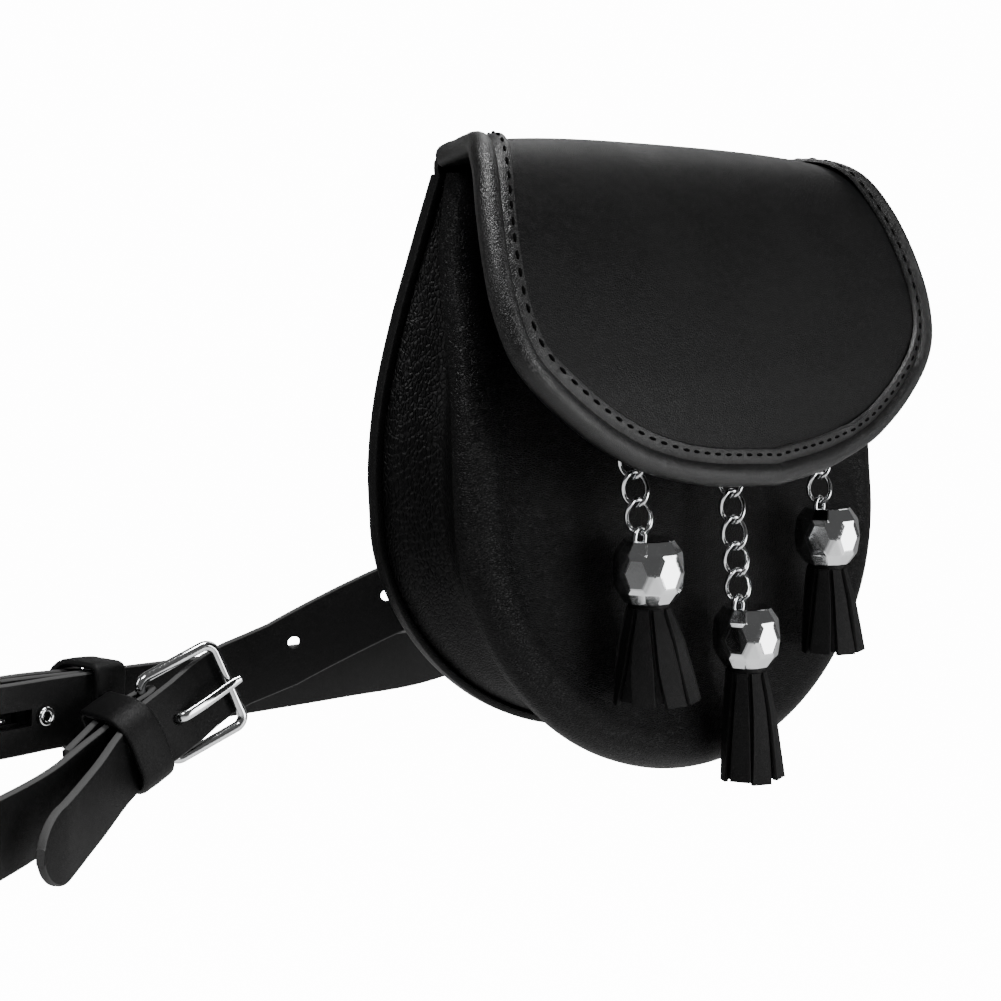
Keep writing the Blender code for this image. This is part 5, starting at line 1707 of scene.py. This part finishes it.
class SPORRAN_OT_buckles(bpy.types.Operator):
    """Build the buckles, their prongs and the strap's eyelet"""

    bl_idname = "sporran.buckles"
    bl_label = "Buckles"

    def execute(self, context):
        route = StrapRoute()
        chrome = bpy.data.materials["chrome"]
        for label, target in (("near", NEAR_BAR_XY), ("far", FAR_BAR_XY)):
            bar = route.nearest(target)
            self.buckle(route, bar, label, chrome)
            self.prong(route, bar, label, chrome)
            if label == "far":
                self.eyelet(route, bar, chrome)
        return {"FINISHED"}

    def buckle(self, route, bar, label, chrome):
        along, _, up = route.frame(bar)
        ahead = -along
        origin = route.curve.point(bar)
        top = BUCKLE_HEIGHT / 2.0 - BUCKLE_CORNER
        far = BUCKLE_LENGTH - BUCKLE_CORNER
        path = []
        for reach, rise, start in ((far, top, 90.0), (far, -top, 0.0), (BUCKLE_CORNER, -top, -90.0),
                                   (BUCKLE_CORNER, top, -180.0)):
            for k in range(BUCKLE_CORNER_STEPS + 1):
                angle = math.radians(start - 90.0 * k / BUCKLE_CORNER_STEPS)
                path.append(origin + ahead * (reach + BUCKLE_CORNER * math.cos(angle))
                            + up * (rise + BUCKLE_CORNER * math.sin(angle)))
        obj = wire_piece(f"buckle_{label}_look", path, BUCKLE_BAR / 2.0, BUCKLE_SIDES, chrome)
        finish_piece(obj, [f"buckle_{label}"], crease=WIRE_CREASE)

    def prong(self, route, bar, label, chrome):
        along, out, up = route.frame(bar)
        ahead = -along
        origin = route.curve.point(bar)
        radius = BUCKLE_BAR / 2.0 + GAP + PRONG_WIRE
        eye = []
        for k in range(PRONG_EYE_STEPS):
            angle = 2.0 * math.pi * k / PRONG_EYE_STEPS
            eye.append(origin + ahead * (radius * math.cos(angle)) + out * (radius * math.sin(angle)))
        shape = Shape()
        rings = []
        for reach, lift, half, wall in fine_wide(PRONG_ROWS):
            c = origin + ahead * reach + out * lift
            rings.append([c + up * (half * math.cos(a)) + out * (wall * math.sin(a))
                          for a in (2.0 * math.pi * k / WIRE_SIDES for k in range(WIRE_SIDES))])
        shape.loft(rings)
        rod = shape.make("rod", chrome)
        obj = wire_piece(f"prong_{label}_look", eye, PRONG_WIRE, WIRE_SIDES, chrome)
        finish_piece(join_pieces(obj, [rod]), [f"prong_{label}"], crease=BLADE_CREASE)

    def eyelet(self, route, bar, chrome):
        along, _, up = route.frame(bar + EYELET_BACK)
        centre = route.place(bar + EYELET_BACK, EYELET_LIFT)
        path = []
        for k in range(EYELET_STEPS):
            angle = 2.0 * math.pi * k / EYELET_STEPS
            path.append(centre + along * (EYELET_RADIUS * math.cos(angle))
                        + up * (EYELET_RADIUS * math.sin(angle)))
        obj = wire_piece("strap_eyelet_look", path, EYELET_WIRE, WIRE_SIDES, chrome)
        finish_piece(obj, ["strap_eyelet"], crease=WIRE_CREASE)


class SPORRAN_OT_keepers(bpy.types.Operator):
    """Build the leather keepers round the strap's layers"""

    bl_idname = "sporran.keepers"
    bl_label = "Keepers"

    def execute(self, context):
        route = StrapRoute()
        for label, target, back in (("near", NEAR_BAR_XY, NEAR_KEEPER_BACK),
                                    ("far", FAR_BAR_XY, FAR_KEEPER_BACK)):
            s = route.nearest(target) + back
            along, out, up = route.frame(s)
            centre = route.curve.point(s)
            half = STRAP_WIDTH / 2.0 + KEEPER_ROOM
            loop = self.loop(half)
            rings = []
            for rise, lift, nr, nl in loop:
                rings.append([centre + along * side + up * (rise + nr * grow) + out * (lift + nl * grow)
                              for side, grow in self.section()])
            shape = Shape()
            shape.loft(rings, closed=True)
            obj = shape.make(f"keeper_{label}_look", bpy.data.materials["strap_leather"])
            finish_piece(obj, [f"keeper_{label}"], crease=BLADE_CREASE)
        return {"FINISHED"}

    def section(self):
        """Section across a keeper: distance along the strap and distance out."""
        w, wall, r, lip = KEEPER_WIDTH / 2.0, KEEPER_WALL, KEEPER_SECTION_CORNER, KEEPER_LIP
        cut = r * KEEPER_CORNER_SHARE
        return ((-w, lip), (-w + lip, 0.0), (w - lip, 0.0), (w, lip), (w, wall - r),
                (w - cut, wall - cut), (w - r, wall), (0.0, wall + KEEPER_CROWN), (-w + r, wall),
                (-w + cut, wall - cut), (-w, wall - r))

    def loop(self, half):
        """Inner line of a keeper with its outward directions, corners rounded."""
        loop = []
        corners = ((half, KEEPER_OUTER, KEEPER_CORNER, 90.0),
                   (half, KEEPER_INNER, KEEPER_INNER_CORNER, 0.0),
                   (-half, KEEPER_INNER, KEEPER_INNER_CORNER, -90.0),
                   (-half, KEEPER_OUTER, KEEPER_CORNER, -180.0))
        for x, y, r, start in corners:
            cx, cy = x - math.copysign(r, x), y - math.copysign(r, y)
            for k in range(KEEPER_CORNER_STEPS + 1):
                angle = math.radians(start - 90.0 * k / KEEPER_CORNER_STEPS)
                nx, ny = math.cos(angle), math.sin(angle)
                loop.append((cx + r * nx, cy + r * ny, nx, ny))
        return loop


class SPORRAN_OT_stage(bpy.types.Operator):
    """Set the pale floor, the soft studio lights and the camera"""

    bl_idname = "sporran.stage"
    bl_label = "Stage"

    def execute(self, context):
        studio = context.scene.sporran_studio
        self.backdrop(studio)
        for name, place, width, height, power in LIGHTS:
            data = bpy.data.lights.new(name, "AREA")
            data.shape = "RECTANGLE"
            data.size, data.size_y = width, height
            data.energy = power * studio.light_power
            lamp = bpy.data.objects.new(name, data)
            lamp.location = place
            lamp.rotation_euler = (-Vector(place)).to_track_quat("-Z", "Y").to_euler()
            context.scene.collection.objects.link(lamp)
        world = bpy.data.worlds.new("studio")
        world.use_nodes = True
        world.node_tree.nodes["Background"].inputs["Color"].default_value = (1.0, 1.0, 1.0, 1.0)
        world.node_tree.nodes["Background"].inputs["Strength"].default_value = ROOM_GLOW
        context.scene.world = world
        data = bpy.data.cameras.new("camera")
        data.lens, data.sensor_width = CAMERA_LENS, SENSOR
        data.clip_start, data.clip_end = 0.01, 20.0
        camera = bpy.data.objects.new("camera", data)
        right, up, ahead = Vector(CAMERA_RIGHT), Vector(CAMERA_UP), Vector(CAMERA_AHEAD)
        turn = Matrix((right, up, -ahead)).transposed().to_4x4()
        camera.matrix_world = Matrix.Translation(CAMERA_AT) @ turn
        context.scene.collection.objects.link(camera)
        context.scene.camera = camera
        return {"FINISHED"}

    def backdrop(self, studio):
        floor = CAD_BOX[0][2] - FLOOR_DROP
        reach = FLOOR_REACH
        profile = [(-reach, floor), (reach - SWEEP_RADIUS, floor)]
        for k in range(1, SWEEP_STEPS + 1):
            angle = math.radians(90.0 * k / SWEEP_STEPS)
            profile.append((reach - SWEEP_RADIUS + SWEEP_RADIUS * math.sin(angle),
                            floor + SWEEP_RADIUS * (1.0 - math.cos(angle))))
        profile.append((reach, floor + WALL_HEIGHT))
        along = Vector((CAMERA_AHEAD[0], CAMERA_AHEAD[1], 0.0)).normalized()
        across = Vector((-along.y, along.x, 0.0))
        verts = []
        for side in (-2.0 * reach, 2.0 * reach):
            verts += [tuple((along * a + across * side + Vector((0.0, 0.0, z))) / MM) for a, z in profile]
        count = len(profile)
        faces = [(i, i + 1, count + i + 1, count + i) for i in range(count - 1)]
        mat = bpy.data.materials.new("studio_paper")
        mat.use_nodes = True
        shader = mat.node_tree.nodes["Principled BSDF"]
        shader.inputs["Base Color"].default_value = tuple(studio.floor_colour)
        shader.inputs["Roughness"].default_value = PAPER_ROUGHNESS
        shader.inputs["Emission Color"].default_value = (1.0, 1.0, 1.0, 1.0)
        path = mat.node_tree.nodes.new("ShaderNodeLightPath")
        glow = mat.node_tree.nodes.new("ShaderNodeMapRange")
        glow.inputs["To Min"].default_value = PAPER_GLOW
        glow.inputs["To Max"].default_value = PAPER_WHITE
        mat.node_tree.links.new(path.outputs["Is Camera Ray"], glow.inputs["Value"])
        mat.node_tree.links.new(glow.outputs["Result"], shader.inputs["Emission Strength"])
        obj = make_object("backdrop", verts, faces, mat)
        obj.data.shade_smooth()


class SPORRAN_PT_panel(bpy.types.Panel):
    bl_label = "Sporran pouch"
    bl_idname = "SPORRAN_PT_panel"
    bl_space_type = "VIEW_3D"
    bl_region_type = "UI"
    bl_category = "Sporran"

    def draw(self, context):
        layout = self.layout
        for group in ("sporran_leather", "sporran_stitching", "sporran_metal", "sporran_studio"):
            settings = getattr(context.scene, group)
            box = layout.box()
            for item in settings.bl_rna.properties:
                if item.identifier not in ("rna_type", "name"):
                    box.prop(settings, item.identifier)
        for operator in OPERATORS:
            layout.operator(operator.bl_idname)


OPERATORS = (
    SPORRAN_OT_materials, SPORRAN_OT_body, SPORRAN_OT_flap, SPORRAN_OT_back_loops, SPORRAN_OT_chains,
    SPORRAN_OT_beads, SPORRAN_OT_tassels, SPORRAN_OT_strap, SPORRAN_OT_buckles, SPORRAN_OT_keepers,
    SPORRAN_OT_stage,
)
GROUPS = {
    "sporran_leather": SporranLeather,
    "sporran_stitching": SporranStitching,
    "sporran_metal": SporranMetal,
    "sporran_studio": SporranStudio,
}


def register():
    for name, group in GROUPS.items():
        bpy.utils.register_class(group)
        setattr(bpy.types.Scene, name, bpy.props.PointerProperty(type=group))
    for cls in OPERATORS + (SPORRAN_PT_panel,):
        bpy.utils.register_class(cls)


def unregister():
    for cls in reversed(OPERATORS + (SPORRAN_PT_panel,)):
        bpy.utils.unregister_class(cls)
    for name, group in GROUPS.items():
        delattr(bpy.types.Scene, name)
        bpy.utils.unregister_class(group)


def main():
    register()
    for operator in OPERATORS:
        group, name = operator.bl_idname.split(".")
        getattr(getattr(bpy.ops, group), name)()


if __name__ == "__main__":
    main()
